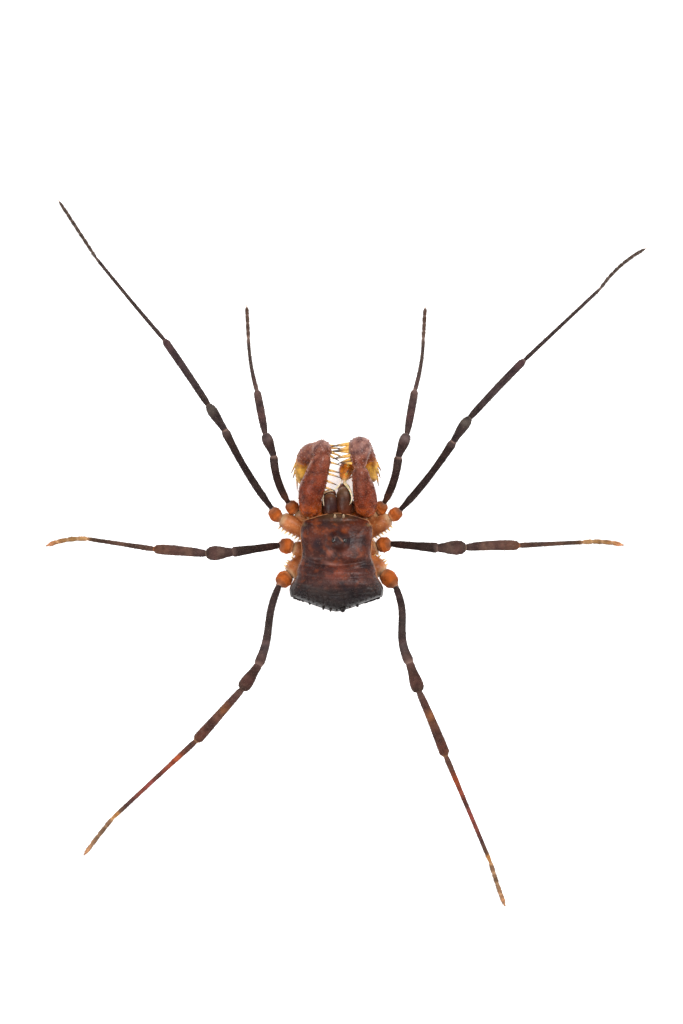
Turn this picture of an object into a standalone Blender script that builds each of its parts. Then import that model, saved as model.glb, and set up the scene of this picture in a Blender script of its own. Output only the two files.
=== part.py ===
"""An armoured harvestman, life size, standing on its eight feet.

The named sizes are in millimetres and the meshes in metres. X is the animal's left, Y its rear
and Z is up, with the floor at zero. The named places are measured from the middle of the back
plate, seen from above. At the end the whole animal is moved so that the origin is the bottom
centre of its box. Angles of the legs are in degrees outward from straight ahead.
"""
import math
import random

import bmesh
import bpy
from mathutils import Vector

MM = 0.001
GAP = 0.3
SEED = 7

LEFT = 1
RIGHT = -1
SIDES = {"left": LEFT, "right": RIGHT}

# Back plate
PLATE_FRONT = -1.62
PLATE_REAR = 1.62
PLATE_RIM = 1.64
PLATE_UNDERSIDE = 1.45
PLATE_SQUARENESS = 0.78
PLATE_FRONT_CURVE = 0.16
PLATE_REAR_CURVE = 0.45
PLATE_REAR_POINT = 1.2
PLATE_HALF_WIDTHS = ((-1.62, 1.02), (-1.10, 1.24), (-0.25, 1.14), (0.35, 1.32), (0.95, 1.62), (1.62, 1.56))
PLATE_HEIGHTS = ((-1.62, 0.42), (-0.80, 0.60), (-0.15, 0.66), (0.12, 0.57),
                 (0.38, 0.74), (0.80, 0.84), (1.62, 0.66))
PLATE_ROUNDING = 0.62

# Tubercles of the back plate. Each row has its distance from the rear edge, half spread, count and length
TUBERCLE_ROWS = ((0.09, 1.36, 12, 0.20), (0.36, 1.24, 9, 0.15))
TUBERCLE_WIDTH = 0.24
TUBERCLE_SINK = 0.14
FRONT_TUBERCLES = (0.05, -0.23)
FRONT_TUBERCLE_LENGTH = 0.24
SIDE_TUBERCLES = (0.30, 0.52, 0.74, 0.94, 1.12)
BACK_TUBERCLES = ((0.24, 0.42), (0.30, 0.72), (0.36, 1.00))

# Eye mound and eyes
MOUND_CENTRE = (-0.08, -0.75, 2.14)
MOUND_HALF = (0.29, 0.29, 0.34)
EYE_RADIUS = 0.11
EYE_SPREAD = 0.20
EYE_HEIGHT = 2.31
EYE_CLEARANCE = 0.05

# Belly and rear rings
BELLY_MIDDLE = 0.95
BELLY_TOP = 1.15
BELLY_BOTTOM = 0.58
BELLY_FRONT = -1.36
BELLY_REAR = 0.95
BELLY_HALF_WIDTHS = ((-1.36, 0.66), (-0.4, 0.72), (0.4, 0.95), (0.8, 1.18), (0.95, 1.12))
BELLY_GROOVES = 5
BELLY_GROOVE_DEPTH = 0.03
LIP = ((0.17, -1.15, 0.86), (0.16, -1.64, 0.90))
LIP_WIDTH = 0.32
RING_CENTRE = (0.0, 1.38, 0.90)
RING_HALF = (1.30, 0.21, 0.33)
RING_BEND = 0.40
RING_BOXINESS = 0.62
RING_STEPS = 3
RING_STEP_DEPTH = 0.05

# Legs: thickness of each part of a leg
TROCHANTER_WIDTH = 0.62
NECK_WIDTH = 0.46
FEMUR_WIDTH = 0.54
KNEE_WIDTH = 0.48
PATELLA_WIDTH = 0.64
TIBIA_WIDTH = 0.52
TIBIA_SWELL = 0.58
METATARSUS_WIDTH = 0.50
TARSUS_WIDTH = 0.46
CLAW_WIDTH = 0.12
TUBE_SIDES = 10

# Heights along each pair of legs: trochanter, knee, end of patella, heel joint
LEG_HEIGHTS = {
    1: (1.12, 2.05, 2.02, 1.30),
    2: (1.12, 2.45, 2.50, 1.60),
    3: (1.10, 2.05, 2.02, 1.25),
    4: (1.14, 2.15, 2.15, 1.30),
}
TOE_HEIGHT = 0.19
HEEL_LIFT = 0.10

# Each leg: its trochanter, where the femur starts, then the heading, length in plan and sideways
# bow of the femur, patella, tibia, metatarsus and tarsus
LEGS = {
    "left_leg_1": ((1.453, -1.81), (1.606, -1.992), (17.2, 21.5, 10.9, 9.4, 3.1),
                   (1.62, 0.77, 1.45, 1.78, 1.05), (29, 0, 0, 12, 0)),
    "left_leg_2": ((2.003, -1.557), (2.148, -1.782), (30.9, 33.4, 34.1, 39.8, 33.1),
                   (3.06, 0.99, 2.59, 3.58, 2.24), (11, 0, -2, 2, 0)),
    "left_leg_3": ((1.66, -0.533), (1.919, -0.556), (98.2, 93.2, 85.1, 81.4, 98.8),
                   (1.57, 0.85, 1.73, 2.26, 1.35), (0, 0, -4, 0, -27)),
    "left_leg_4": ((1.733, 0.567), (1.91, 0.775), (165.5, 145.7, 138.3, 132.9, 142.1),
                   (2.74, 0.96, 2.29, 3.8, 1.51), (0, 0, 0, 0, -4)),
    "right_leg_1": ((1.467, -1.797), (1.587, -1.975), (17.0, 21.0, 10.3, 9.5, 3.4),
                    (1.6, 0.8, 1.47, 1.76, 1.02), (23, 0, 0, 13, 0)),
    "right_leg_2": ((1.93, -1.573), (2.119, -1.737), (37.8, 34.6, 43.5, 46.7, 48.4),
                    (2.89, 0.95, 2.62, 3.53, 1.97), (11, -8, -3, 0, -28)),
    "right_leg_3": ((1.573, -0.577), (1.828, -0.607), (94.9, 89.0, 87.9, 87.2, 93.6),
                    (1.56, 0.91, 1.77, 2.13, 1.32), (0, 0, -8, 0, -20)),
    "right_leg_4": ((1.707, 0.51), (1.97, 0.819), (169.6, 162.0, 157.4, 157.2, 161.6),
                    (2.59, 0.98, 2.3, 3.88, 1.48), (4, 0, -4, 0, 4)),
}
FEMUR_SWAY = {"left_leg_4": -0.06, "right_leg_4": -0.09}

# Rise of the middle of each part of a leg, points along it, and what is cut off its two ends
ARCHES = (0.16, 0.06, 0.10, 0.10, -0.05)
STEPS = (6, 4, 5, 5, 7)
TRIMS = ((0, GAP / 2), (GAP / 2, 0), (0, GAP / 2), (GAP / 2, 0), (0, 0))
FEMUR_RISE = 0.12

# Coxae: where each one starts under the body, and its width there and at its end
COXA_ROOTS = {1: (0.35, -0.95, 0.88), 2: (0.40, -0.62, 0.90), 3: (0.40, -0.20, 0.90), 4: (0.50, -0.30, 0.90)}
COXA_ELBOWS = {1: (0.75, -1.25, 0.90), 2: (1.05, -1.02, 0.92), 3: (0.80, -0.32, 0.90), 4: (1.14, 0.02, 0.94)}
COXA_WIDTHS = {1: (0.55, 0.54), 2: (0.62, 0.62), 3: (0.55, 0.56), 4: (0.60, 0.64)}
COXA_SPINE_LENGTH = 0.14

# Palps: path and width of the femur, of the patella with the tibia, and of the tarsus with its claw
PALP_COXA = ((0.45, -0.95, 0.95), (0.66, -1.42, 1.10))
PALP_COXA_WIDTH = 0.46
PALP_FEMUR = ((0.72, -1.74, 1.32), (0.84, -2.05, 1.60), (0.84, -2.42, 1.84), (0.71, -2.80, 2.00),
              (0.60, -3.20, 2.10))
PALP_FEMUR_WIDTHS = (0.54, 0.78, 0.86, 0.74, 0.60)
PALP_TIBIA = ((0.60, -3.46, 2.10), (0.58, -3.72, 2.00), (0.72, -3.80, 1.66), (0.92, -3.64, 1.34),
              (1.04, -3.30, 1.14), (1.08, -2.95, 1.05), (1.04, -2.64, 1.00))
PALP_TIBIA_WIDTHS = (0.48, 0.62, 0.56, 0.58, 0.60, 0.54, 0.42)
PALP_TARSUS = ((0.98, -2.36, 0.92), (0.80, -2.30, 0.84), (0.60, -2.48, 0.80), (0.46, -2.80, 0.80),
               (0.38, -3.10, 0.84), (0.28, -3.36, 0.96))
PALP_TARSUS_WIDTHS = (0.38, 0.44, 0.44, 0.38, 0.24, 0.06)
PALP_SHIFT = {"left": (0.0, 0.02, 0.0), "right": (0.08, -0.08, 0.0)}
SPINE_WIDTH = 0.32
SPINE_TIP = 0.04
SPINE_SINK = 0.16
SPINE_SIDES = 6

# Chelicerae
HAND_CENTRE = (0.25, -2.20, 1.42)
HAND_HALF = (0.22, 0.34, 0.34)
CHELICERA_STEM = ((0.20, -1.90, 1.42), (0.24, -2.20, 1.44))
CHELICERA_STEM_WIDTH = 0.36
FINGERS = (((0.30, -2.34, 1.30), (0.26, -2.44, 1.12), (0.20, -2.40, 0.98)),
           ((0.18, -2.22, 1.28), (0.14, -2.28, 1.12), (0.14, -2.34, 1.00)))
FINGER_WIDTHS = (0.24, 0.16, 0.06)

COLOURS = {
    "plate": ((0.10, 0.03, 0.02), 0.45),
    "belly": ((0.35, 0.13, 0.04), 0.5),
    "eye": ((0.004, 0.004, 0.005), 0.08),
    "palp": ((0.17, 0.03, 0.02), 0.4),
    "palp_tip": ((0.75, 0.37, 0.12), 0.35),
    "chelicera": ((0.05, 0.018, 0.012), 0.4),
    "leg": ((0.05, 0.025, 0.022), 0.5),
    "foot": ((0.22, 0.09, 0.05), 0.5),
}


def clear_scene():
    """Start from an empty scene."""
    for old in list(bpy.data.objects):
        bpy.data.objects.remove(old, do_unlink=True)


def new_collection(name):
    """A collection linked to the scene."""
    collection = bpy.data.collections.new(name)
    bpy.context.scene.collection.children.link(collection)
    return collection


clear_scene()
MODEL = new_collection("harvestman")
PIECES = new_collection("pieces")
CUTTERS = new_collection("cutters")


def material(name):
    """One plain material of its own for a named piece kind."""
    colour, roughness = COLOURS[name]
    made = bpy.data.materials.new(name)
    made.use_nodes = True
    shader = made.node_tree.nodes["Principled BSDF"]
    shader.inputs["Base Color"].default_value = (*colour, 1)
    shader.inputs["Roughness"].default_value = roughness
    shader.inputs["Metallic"].default_value = 0
    return made


def mirrored(place, side):
    """A place given for the left, moved to the named side."""
    return Vector((place[0] * side, place[1], place[2]))


def between(stations, at):
    """A value read smoothly from stations of place and value."""
    if at <= stations[0][0]:
        return stations[0][1]
    for (start, low), (end, high) in zip(stations, stations[1:]):
        if at <= end:
            part = (at - start) / (end - start)
            return low + (high - low) * part * part * (3 - 2 * part)
    return stations[-1][1]


def object_from(bm, name, collection):
    """A new object that holds the finished mesh."""
    mesh = bpy.data.meshes.new(name)
    bmesh.ops.recalc_face_normals(bm, faces=bm.faces)
    bm.to_mesh(mesh)
    bm.free()
    made = bpy.data.objects.new(name, mesh)
    collection.objects.link(made)
    return made


def evaluated_mesh(thing):
    """The mesh of an object with its modifiers applied."""
    graph = bpy.context.evaluated_depsgraph_get()
    return bpy.data.meshes.new_from_object(thing.evaluated_get(graph))


def blob(name, shape, across=16, along=10):
    """A rounded closed form: a sphere whose points are put in place by the shape function."""
    bm = bmesh.new()
    bmesh.ops.create_uvsphere(bm, u_segments=across, v_segments=along, radius=1)
    for vertex in bm.verts:
        vertex.co = Vector(shape(*vertex.co)) * MM
    return object_from(bm, name, PIECES)


def ellipsoid(name, centre, half, across=16, along=10):
    """A rounded closed form with its own half size along each axis."""
    return blob(name, lambda a, b, c: [m + h * u for m, h, u in zip(centre, half, (a, b, c))], across, along)


def tube(name, path, widths, sides=TUBE_SIDES):
    """A closed tube along a path, with its own width at each point and flat ends."""
    curve = bpy.data.curves.new(name, "CURVE")
    curve.dimensions = "3D"
    curve.use_fill_caps = True
    curve.bevel_depth = MM / 2
    curve.bevel_resolution = (sides - 4) // 2
    spline = curve.splines.new("POLY")
    spline.points.add(len(path) - 1)
    for point, place, width in zip(spline.points, path, widths):
        point.co = (*(Vector(place) * MM), 1)
        point.radius = width
    drawn = bpy.data.objects.new(name, curve)
    PIECES.objects.link(drawn)
    mesh = evaluated_mesh(drawn)
    bpy.data.objects.remove(drawn)
    bm = bmesh.new()
    bm.from_mesh(mesh)
    bmesh.ops.remove_doubles(bm, verts=bm.verts, dist=MM / 1000)
    return object_from(bm, name, PIECES)


def spine(root, tip, width=SPINE_WIDTH, sides=SPINE_SIDES):
    """A tapered spine whose root lies inside the piece that it grows from."""
    root = Vector(root)
    reach = Vector(tip) - root
    bm = bmesh.new()
    bmesh.ops.create_cone(bm, cap_ends=True, segments=sides, radius1=width / 2, radius2=SPINE_TIP / 2,
                          depth=reach.length)
    turn = Vector((0, 0, 1)).rotation_difference(reach)
    for vertex in bm.verts:
        vertex.co = (turn @ vertex.co + root + reach / 2) * MM
    return object_from(bm, "spine", PIECES)


def keep_largest(bm):
    """Drop every loose surface but the largest one."""
    left = set(bm.verts)
    surfaces = []
    while left:
        reached = {left.pop()}
        edge = list(reached)
        while edge:
            near = {other for vertex in edge for link in vertex.link_edges for other in link.verts}
            edge = list(near & left)
            left -= near
            reached |= near
        area = sum({face: face.calc_area() for vertex in reached for face in vertex.link_faces}.values())
        surfaces.append((area, reached))
    surfaces.sort(key=lambda found: found[0], reverse=True)
    for area, reached in surfaces[1:]:
        bmesh.ops.delete(bm, geom=list(reached), context="VERTS")


def fused(base, grown, cutters=()):
    """One closed body: the base with the grown pieces joined on and the cutters taken off."""
    joined = new_collection("joined")
    for piece in grown:
        PIECES.objects.unlink(piece)
        joined.objects.link(piece)
    if grown:
        join = base.modifiers.new("join", "BOOLEAN")
        join.operation = "UNION"
        join.operand_type = "COLLECTION"
        join.collection = joined
    for cutter in cutters:
        cut = base.modifiers.new("cut", "BOOLEAN")
        cut.operation = "DIFFERENCE"
        cut.object = cutter
    mesh = evaluated_mesh(base)
    base.modifiers.clear()
    base.data = mesh
    bm = bmesh.new()
    bm.from_mesh(mesh)
    keep_largest(bm)
    bm.to_mesh(mesh)
    bm.free()
    for piece in list(joined.objects):
        bpy.data.objects.remove(piece)
    bpy.data.collections.remove(joined)
    return base


def place_node(piece, name, kind, origin):
    """Name a finished piece, give it its material and put its origin where it grows from."""
    piece.name = name
    piece.data.name = name
    origin = Vector(origin) * MM
    for vertex in piece.data.vertices:
        vertex.co -= origin
    piece.location = origin
    piece.data.materials.clear()
    piece.data.materials.append(material(kind))
    piece.data.shade_smooth()
    piece.data.set_sharp_from_angle(angle=math.radians(50))
    PIECES.objects.unlink(piece)
    MODEL.objects.link(piece)
    return piece


def cutter_from(piece):
    """Turn a piece into a hidden cutter."""
    PIECES.objects.unlink(piece)
    CUTTERS.objects.link(piece)
    piece.hide_render = True
    piece.display_type = "WIRE"
    return piece


def around(path, widths, at, angle, side):
    """A point inside a tube, the way out of it, and its half width, at a share of its length.

    The angle is zero toward the animal's outer side and 90 upward, seen along the tube.
    """
    last = len(path) - 1
    first = min(int(at * last), last - 1)
    part = at * last - first
    start, end = Vector(path[first]), Vector(path[first + 1])
    axis = (end - start).normalized()
    outward = Vector((side, 0, 0)) - axis * axis.x * side
    outward.normalize()
    upward = Vector((0, 0, 1)) - axis * axis.z
    upward = (upward - outward * upward.dot(outward)).normalized()
    way = outward * math.cos(math.radians(angle)) + upward * math.sin(math.radians(angle))
    return start.lerp(end, part), way, (widths[first] * (1 - part) + widths[first + 1] * part) / 2


def spine_row(path, widths, side, angle, places, length, width=SPINE_WIDTH, lean=0.0):
    """Spines at shares of a tube's length, all standing out at one angle around it."""
    row = []
    for at in places:
        centre, way, half = around(path, widths, at, angle, side)
        root = centre + way * max(half - SPINE_SINK, 0.02)
        tip = centre + way * (half + length) + Vector((0, lean, 0))
        row.append(spine(root, tip, min(width, half * 1.5)))
    return row


def squareness(a, b, amount):
    """How far a point of a disc moves out when the disc is made squarer."""
    return 1 + amount * (math.hypot(a, b) / max(abs(a), abs(b), 1e-6) - 1)


def plate_curve(along, across):
    """How far along the plate a point of its outline square lies, with both ends rounded."""
    half_length = (PLATE_REAR - PLATE_FRONT) / 2
    curve = PLATE_FRONT_CURVE * across * across
    if along > 0:
        curve = PLATE_REAR_CURVE * abs(across) ** PLATE_REAR_POINT
    return (PLATE_FRONT + PLATE_REAR) / 2 + along * (half_length - curve)


def plate_shape(a, b, c):
    """Where a point of the unit sphere lies on the back plate."""
    square = squareness(a, b, PLATE_SQUARENESS)
    across, along = a * square, b * square
    y = plate_curve(along, across)
    x = across * between(PLATE_HALF_WIDTHS, y)
    if c > 0:
        return x, y, PLATE_RIM + between(PLATE_HEIGHTS, y) * c ** PLATE_ROUNDING
    return x, y, PLATE_RIM - (PLATE_RIM - PLATE_UNDERSIDE) * abs(c) ** 0.3


def plate_top(x, y):
    """The height of the back plate's upper surface at a place in plan."""
    across = x / between(PLATE_HALF_WIDTHS, y)
    reach = abs(plate_curve(math.copysign(1, y), across) - plate_curve(0, across))
    along = (y - plate_curve(0, across)) / reach
    flat = math.hypot(across, along) / squareness(across, along, PLATE_SQUARENESS)
    rise = math.sqrt(max(1 - flat * flat, 0))
    return PLATE_RIM + between(PLATE_HEIGHTS, y) * rise ** PLATE_ROUNDING


def tubercle(x, y, way, length, width=TUBERCLE_WIDTH):
    """A small cone that stands on the back plate and leans the given way."""
    foot = Vector((x, y, plate_top(x, y)))
    way = Vector(way).normalized()
    return spine(foot - way * TUBERCLE_SINK, foot + way * length, width)


def plate_tubercles():
    """All the tubercles of the back plate: rear rows, front pair, side rows and back pairs."""
    rng = random.Random(SEED)
    grown = []
    for inset, spread, count, length in TUBERCLE_ROWS:
        for index in range(count):
            x = spread * (2 * (index + 0.5) / count - 1) + rng.uniform(-0.03, 0.03)
            y = plate_curve(1, x / PLATE_HALF_WIDTHS[-1][1]) - inset
            grown.append(tubercle(x, y, (x * 0.15, 0.7, 0.7), length * rng.uniform(0.8, 1.15)))
    for x in FRONT_TUBERCLES:
        grown.append(tubercle(x, -1.50, (0, -0.25, 1), FRONT_TUBERCLE_LENGTH))
    for side in (LEFT, RIGHT):
        for y in SIDE_TUBERCLES:
            x = side * (between(PLATE_HALF_WIDTHS, y) - 0.10)
            grown.append(tubercle(x, y, (side, 0.25, 0.75), 0.12 * rng.uniform(0.8, 1.1), 0.20))
        for x, y in BACK_TUBERCLES:
            grown.append(tubercle(side * x, y, (0, 0.2, 1), 0.09, 0.20))
    return grown


def build_plate():
    """The back plate with its eye mound, its tubercles and the eye sockets."""
    base = blob("scutum", plate_shape, across=44, along=22)
    grown = [ellipsoid("mound", MOUND_CENTRE, MOUND_HALF, across=14, along=8)]
    grown += plate_tubercles()
    sockets = []
    for side in (LEFT, RIGHT):
        x = MOUND_CENTRE[0] + side * EYE_SPREAD
        radius = EYE_RADIUS + EYE_CLEARANCE
        socket = ellipsoid("socket", (x, MOUND_CENTRE[1], EYE_HEIGHT), (radius,) * 3, across=12, along=8)
        sockets.append(cutter_from(socket))
    place_node(fused(base, grown, sockets), "scutum", "plate", (0, 0, PLATE_RIM))


def build_eyes():
    """Two round eyes, each in its socket on the side of the mound."""
    for name, side in SIDES.items():
        centre = (MOUND_CENTRE[0] + side * EYE_SPREAD, MOUND_CENTRE[1], EYE_HEIGHT)
        eye = ellipsoid("eye", centre, (EYE_RADIUS,) * 3, across=12, along=8)
        place_node(eye, "eye_" + name, "eye", centre)


def leg_parts(name):
    """The side, pair, trochanter and femur start of a leg."""
    side = SIDES[name.split("_")[0]]
    pair = int(name[-1])
    trochanter, start = LEGS[name][:2]
    heights = LEG_HEIGHTS[pair]
    hip = mirrored((*trochanter, heights[0]), side)
    femur_start = mirrored((*start, heights[0] + FEMUR_RISE), side)
    return side, pair, hip, femur_start


def coxa_path(side, pair, hip):
    """Root, elbow and end of a coxa, which stops one gap short of the trochanter."""
    root = mirrored(COXA_ROOTS[pair], side)
    elbow = mirrored(COXA_ELBOWS[pair], side)
    return root, elbow, hip - (hip - elbow).normalized() * (TROCHANTER_WIDTH / 2 + GAP)


def build_belly():
    """The underside with the eight leg coxae and the two palp coxae that spread from it."""
    middle = (BELLY_FRONT + BELLY_REAR) / 2
    half_length = (BELLY_REAR - BELLY_FRONT) / 2

    def shape(a, b, c):
        square = squareness(a, b, 0.6)
        across, along = a * square, b * square
        y = middle + along * (half_length - (0.24 * across * across if along > 0 else 0))
        x = across * between(BELLY_HALF_WIDTHS, y)
        if c > 0:
            return x, y, BELLY_MIDDLE + (BELLY_TOP - BELLY_MIDDLE) * c ** 0.4
        groove = BELLY_GROOVE_DEPTH * math.cos(2 * math.pi * BELLY_GROOVES * y / BELLY_REAR) * max(along, 0)
        return x, y, BELLY_MIDDLE - (BELLY_MIDDLE - BELLY_BOTTOM + groove) * abs(c) ** 0.8

    base = blob("venter", shape, across=28, along=18)
    grown = []
    for name in LEGS:
        side, pair, hip, femur_start = leg_parts(name)
        root, elbow, end = coxa_path(side, pair, hip)
        wide, narrow = COXA_WIDTHS[pair]
        path = [root, elbow, elbow.lerp(end, 0.6), end]
        widths = (wide, wide * 1.05, narrow, narrow * 0.8)
        grown.append(tube("coxa", path, widths, sides=10))
        if pair in (2, 4):
            facing = 10 if pair == 4 else -150
            grown += spine_row(path, widths, side, facing, (0.40, 0.62, 0.84), COXA_SPINE_LENGTH, 0.22)
    for side in (LEFT, RIGHT):
        path = [mirrored(place, side) for place in PALP_COXA]
        grown.append(tube("palp_coxa", path, (PALP_COXA_WIDTH, PALP_COXA_WIDTH * 0.85)))
        path = [mirrored(place, side) for place in LIP]
        grown.append(tube("lip", path, (LIP_WIDTH, LIP_WIDTH * 0.7)))
    place_node(fused(base, grown), "venter", "belly", (0, 0, BELLY_MIDDLE))


def build_rings():
    """The rings of the abdomen that close the rear end below the back plate."""

    def shape(a, b, c):
        taper = math.sqrt(max(1 - a * a, 1e-6))
        across = math.asin(max(-1, min(1, a))) / (math.pi / 2)
        thick = math.copysign((abs(b) / taper) ** RING_BOXINESS, b) * taper ** 0.4
        tall = math.copysign((abs(c) / taper) ** RING_BOXINESS, c) * taper ** 0.4
        y = RING_CENTRE[1] + thick * RING_HALF[1] - RING_BEND * across * across
        step = RING_STEP_DEPTH * math.sin(tall * math.pi * RING_STEPS) * max(thick, 0)
        return across * RING_HALF[0], y + step, RING_CENTRE[2] + tall * RING_HALF[2]

    base = blob("tergites", shape, across=36, along=14)
    place_node(base, "tergites", "plate", RING_CENTRE)


def build_chelicerae():
    """The two pincers before the mouth: a stem, a swollen hand and two short fingers."""
    for name, side in SIDES.items():
        shift = Vector((MOUND_CENTRE[0] / 2, 0, 0))
        centre = mirrored(HAND_CENTRE, side) + shift
        hand = ellipsoid("hand", centre, HAND_HALF, across=14, along=10)
        stem = [mirrored(place, side) + shift for place in CHELICERA_STEM]
        grown = [tube("stem", stem, (CHELICERA_STEM_WIDTH,) * 2)]
        for finger in FINGERS:
            path = [mirrored(place, side) + shift for place in finger]
            grown.append(tube("finger", path, FINGER_WIDTHS, sides=6))
        place_node(fused(hand, grown), "chelicera_" + name, "chelicera", stem[0])


def build_palps():
    """The big folded palps with their spines, each in three nodes."""
    for name, side in SIDES.items():
        shift = Vector(PALP_SHIFT[name])

        def placed(path):
            return [mirrored(Vector(place) + shift, side) for place in path]

        femur, tibia, tarsus = placed(PALP_FEMUR), placed(PALP_TIBIA), placed(PALP_TARSUS)
        stagger = 0.0 if side == LEFT else 0.06
        body = tube("femur", femur, PALP_FEMUR_WIDTHS, sides=10)
        grown = spine_row(femur, PALP_FEMUR_WIDTHS, side, -100, (0.30, 0.48, 0.66, 0.84), 0.34)
        places = (0.58 + stagger, 0.76 + stagger, 0.92)
        grown += spine_row(femur, PALP_FEMUR_WIDTHS, side, 185, places, 0.28, 0.26)
        grown += spine_row(femur, PALP_FEMUR_WIDTHS, side, 80, (0.34, 0.50, 0.66), 0.12, 0.24)
        place_node(fused(body, grown), "palp_femur_" + name, "palp", femur[0])

        body = tube("tibia", tibia, PALP_TIBIA_WIDTHS, sides=10)
        places = (0.06 + stagger, 0.18 + stagger, 0.32)
        grown = spine_row(tibia, PALP_TIBIA_WIDTHS, side, 180, places, 0.30, 0.28)
        grown += spine_row(tibia, PALP_TIBIA_WIDTHS, side, -35, (0.60, 0.74, 0.88), 0.16, 0.26, 0.14)
        place_node(fused(body, grown), "palp_tibia_" + name, "palp_tip", tibia[0])

        body = tube("tarsus", tarsus, PALP_TARSUS_WIDTHS)
        grown = spine_row(tarsus, PALP_TARSUS_WIDTHS, side, 180, (0.45, 0.60), 0.22, 0.24)
        grown += spine_row(tarsus, PALP_TARSUS_WIDTHS, side, -70, (0.30, 0.48, 0.64), 0.20, 0.24)
        place_node(fused(body, grown), "palp_tarsus_" + name, "palp_tip", tarsus[0])


def segment(start, end, side, heading, bow, sway, arch, steps, trims):
    """Points along one leg segment, bowed sideways and arched upward, trimmed at its ends."""
    heading = math.radians(heading)
    sideways = Vector((side * math.cos(heading), math.sin(heading), 0))
    span = (end - start).length
    bulge = span * math.radians(bow) / 8
    first, last = trims[0] / span, 1 - trims[1] / span
    points = []
    for step in range(steps):
        at = first + (last - first) * step / (steps - 1)
        lift = 4 * at * (1 - at)
        offset = sideways * (bulge * lift + sway * math.sin(2 * math.pi * at))
        points.append(start.lerp(end, at) + offset + Vector((0, 0, arch * lift)))
    return points


def leg_joints(name):
    """The joints of a leg from the femur's start to the tip of the foot."""
    side, pair, hip, place = leg_parts(name)
    heights = (*LEG_HEIGHTS[pair][1:], TOE_HEIGHT + HEEL_LIFT, TOE_HEIGHT)
    joints = [place]
    for heading, span, height in zip(LEGS[name][2], LEGS[name][3], heights):
        turn = math.radians(heading)
        step = Vector((side * math.sin(turn), -math.cos(turn), 0)) * span
        place = place + step
        place.z = height
        joints.append(place)
    return joints


def build_leg(name, floor):
    """One leg in three nodes: trochanter and femur, patella and tibia, and the foot."""
    side, pair, hip, femur_start = leg_parts(name)
    joints = leg_joints(name)
    headings, bows = LEGS[name][2], LEGS[name][4]
    sways = (FEMUR_SWAY.get(name, 0), 0, 0, 0, 0)
    paths = []
    for i in range(5):
        ends = joints[i], joints[i + 1]
        paths.append(segment(*ends, side, headings[i], bows[i], sways[i], ARCHES[i], STEPS[i], TRIMS[i]))

    way = (hip - mirrored(COXA_ELBOWS[pair], side)).normalized()
    radius = TROCHANTER_WIDTH / 2
    path = [hip - way * radius, hip - way * radius * 0.65, hip, hip.lerp(paths[0][0], 0.75)] + paths[0][1:]
    widths = [0.6 * TROCHANTER_WIDTH, 0.86 * TROCHANTER_WIDTH, TROCHANTER_WIDTH, 0.88 * TROCHANTER_WIDTH,
              NECK_WIDTH, FEMUR_WIDTH, FEMUR_WIDTH * 1.04, FEMUR_WIDTH * 1.04, FEMUR_WIDTH * 0.96]
    place_node(tube("femur", path, widths), name + "_femur", "leg", hip)

    path = paths[1] + paths[2][1:]
    widths = [KNEE_WIDTH, PATELLA_WIDTH * 0.88, PATELLA_WIDTH, TIBIA_WIDTH * 0.94,
              TIBIA_WIDTH, TIBIA_SWELL, TIBIA_SWELL, TIBIA_WIDTH * 0.92]
    place_node(tube("tibia", path, widths), name + "_tibia", "leg", path[0])

    path = paths[3] + paths[4][1:]
    path[-1].z = TOE_HEIGHT * 0.5
    widths = [METATARSUS_WIDTH * 0.94] + [METATARSUS_WIDTH] * 4
    widths += [TARSUS_WIDTH, TARSUS_WIDTH, TARSUS_WIDTH * 0.94, TARSUS_WIDTH * 0.85, TARSUS_WIDTH * 0.7]
    widths += [CLAW_WIDTH]
    foot = fused(tube("foot", path, widths), (), [floor])
    place_node(foot, name + "_foot", "foot", path[0])


def floor_cutter():
    """A slab below the floor that trims the soles flat."""
    bm = bmesh.new()
    bmesh.ops.create_cube(bm, size=1)
    for vertex in bm.verts:
        vertex.co = Vector((vertex.co.x * 40, vertex.co.y * 40, (vertex.co.z - 0.5) * 2)) * MM
    return cutter_from(object_from(bm, "floor_cutter", PIECES))


def centre_model():
    """Parent every node to one empty that puts the origin at the bottom centre of the box."""
    corners = [piece.matrix_world @ vertex.co for piece in MODEL.objects for vertex in piece.data.vertices]
    low = [min(corner[axis] for corner in corners) for axis in range(3)]
    high = [max(corner[axis] for corner in corners) for axis in range(3)]
    centre = bpy.data.objects.new("harvestman_origin", None)
    bpy.context.scene.collection.objects.link(centre)
    for piece in MODEL.objects:
        piece.parent = centre
    centre.location = (-(low[0] + high[0]) / 2, -(low[1] + high[1]) / 2, -low[2])


def main():
    """Build every node and set the model on its origin."""
    build_plate()
    build_eyes()
    build_belly()
    build_rings()
    build_chelicerae()
    build_palps()
    floor = floor_cutter()
    for name in LEGS:
        build_leg(name, floor)
    bpy.context.view_layer.update()
    centre_model()


main()
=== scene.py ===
"""Looks of the armoured harvestman: every plate, limb, spine and hair of the animal, and its studio.

Named sizes and places are in millimetres and measured from the middle of the back plate, seen
from above. X is the animal's left, Y its rear and Z is up, with the floor at zero. A piece is
moved into the row frame, in metres, when it is made. Colours are red, green and blue as the eye
sees them, from 0 to 255.
"""
import math
from collections import namedtuple

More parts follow.
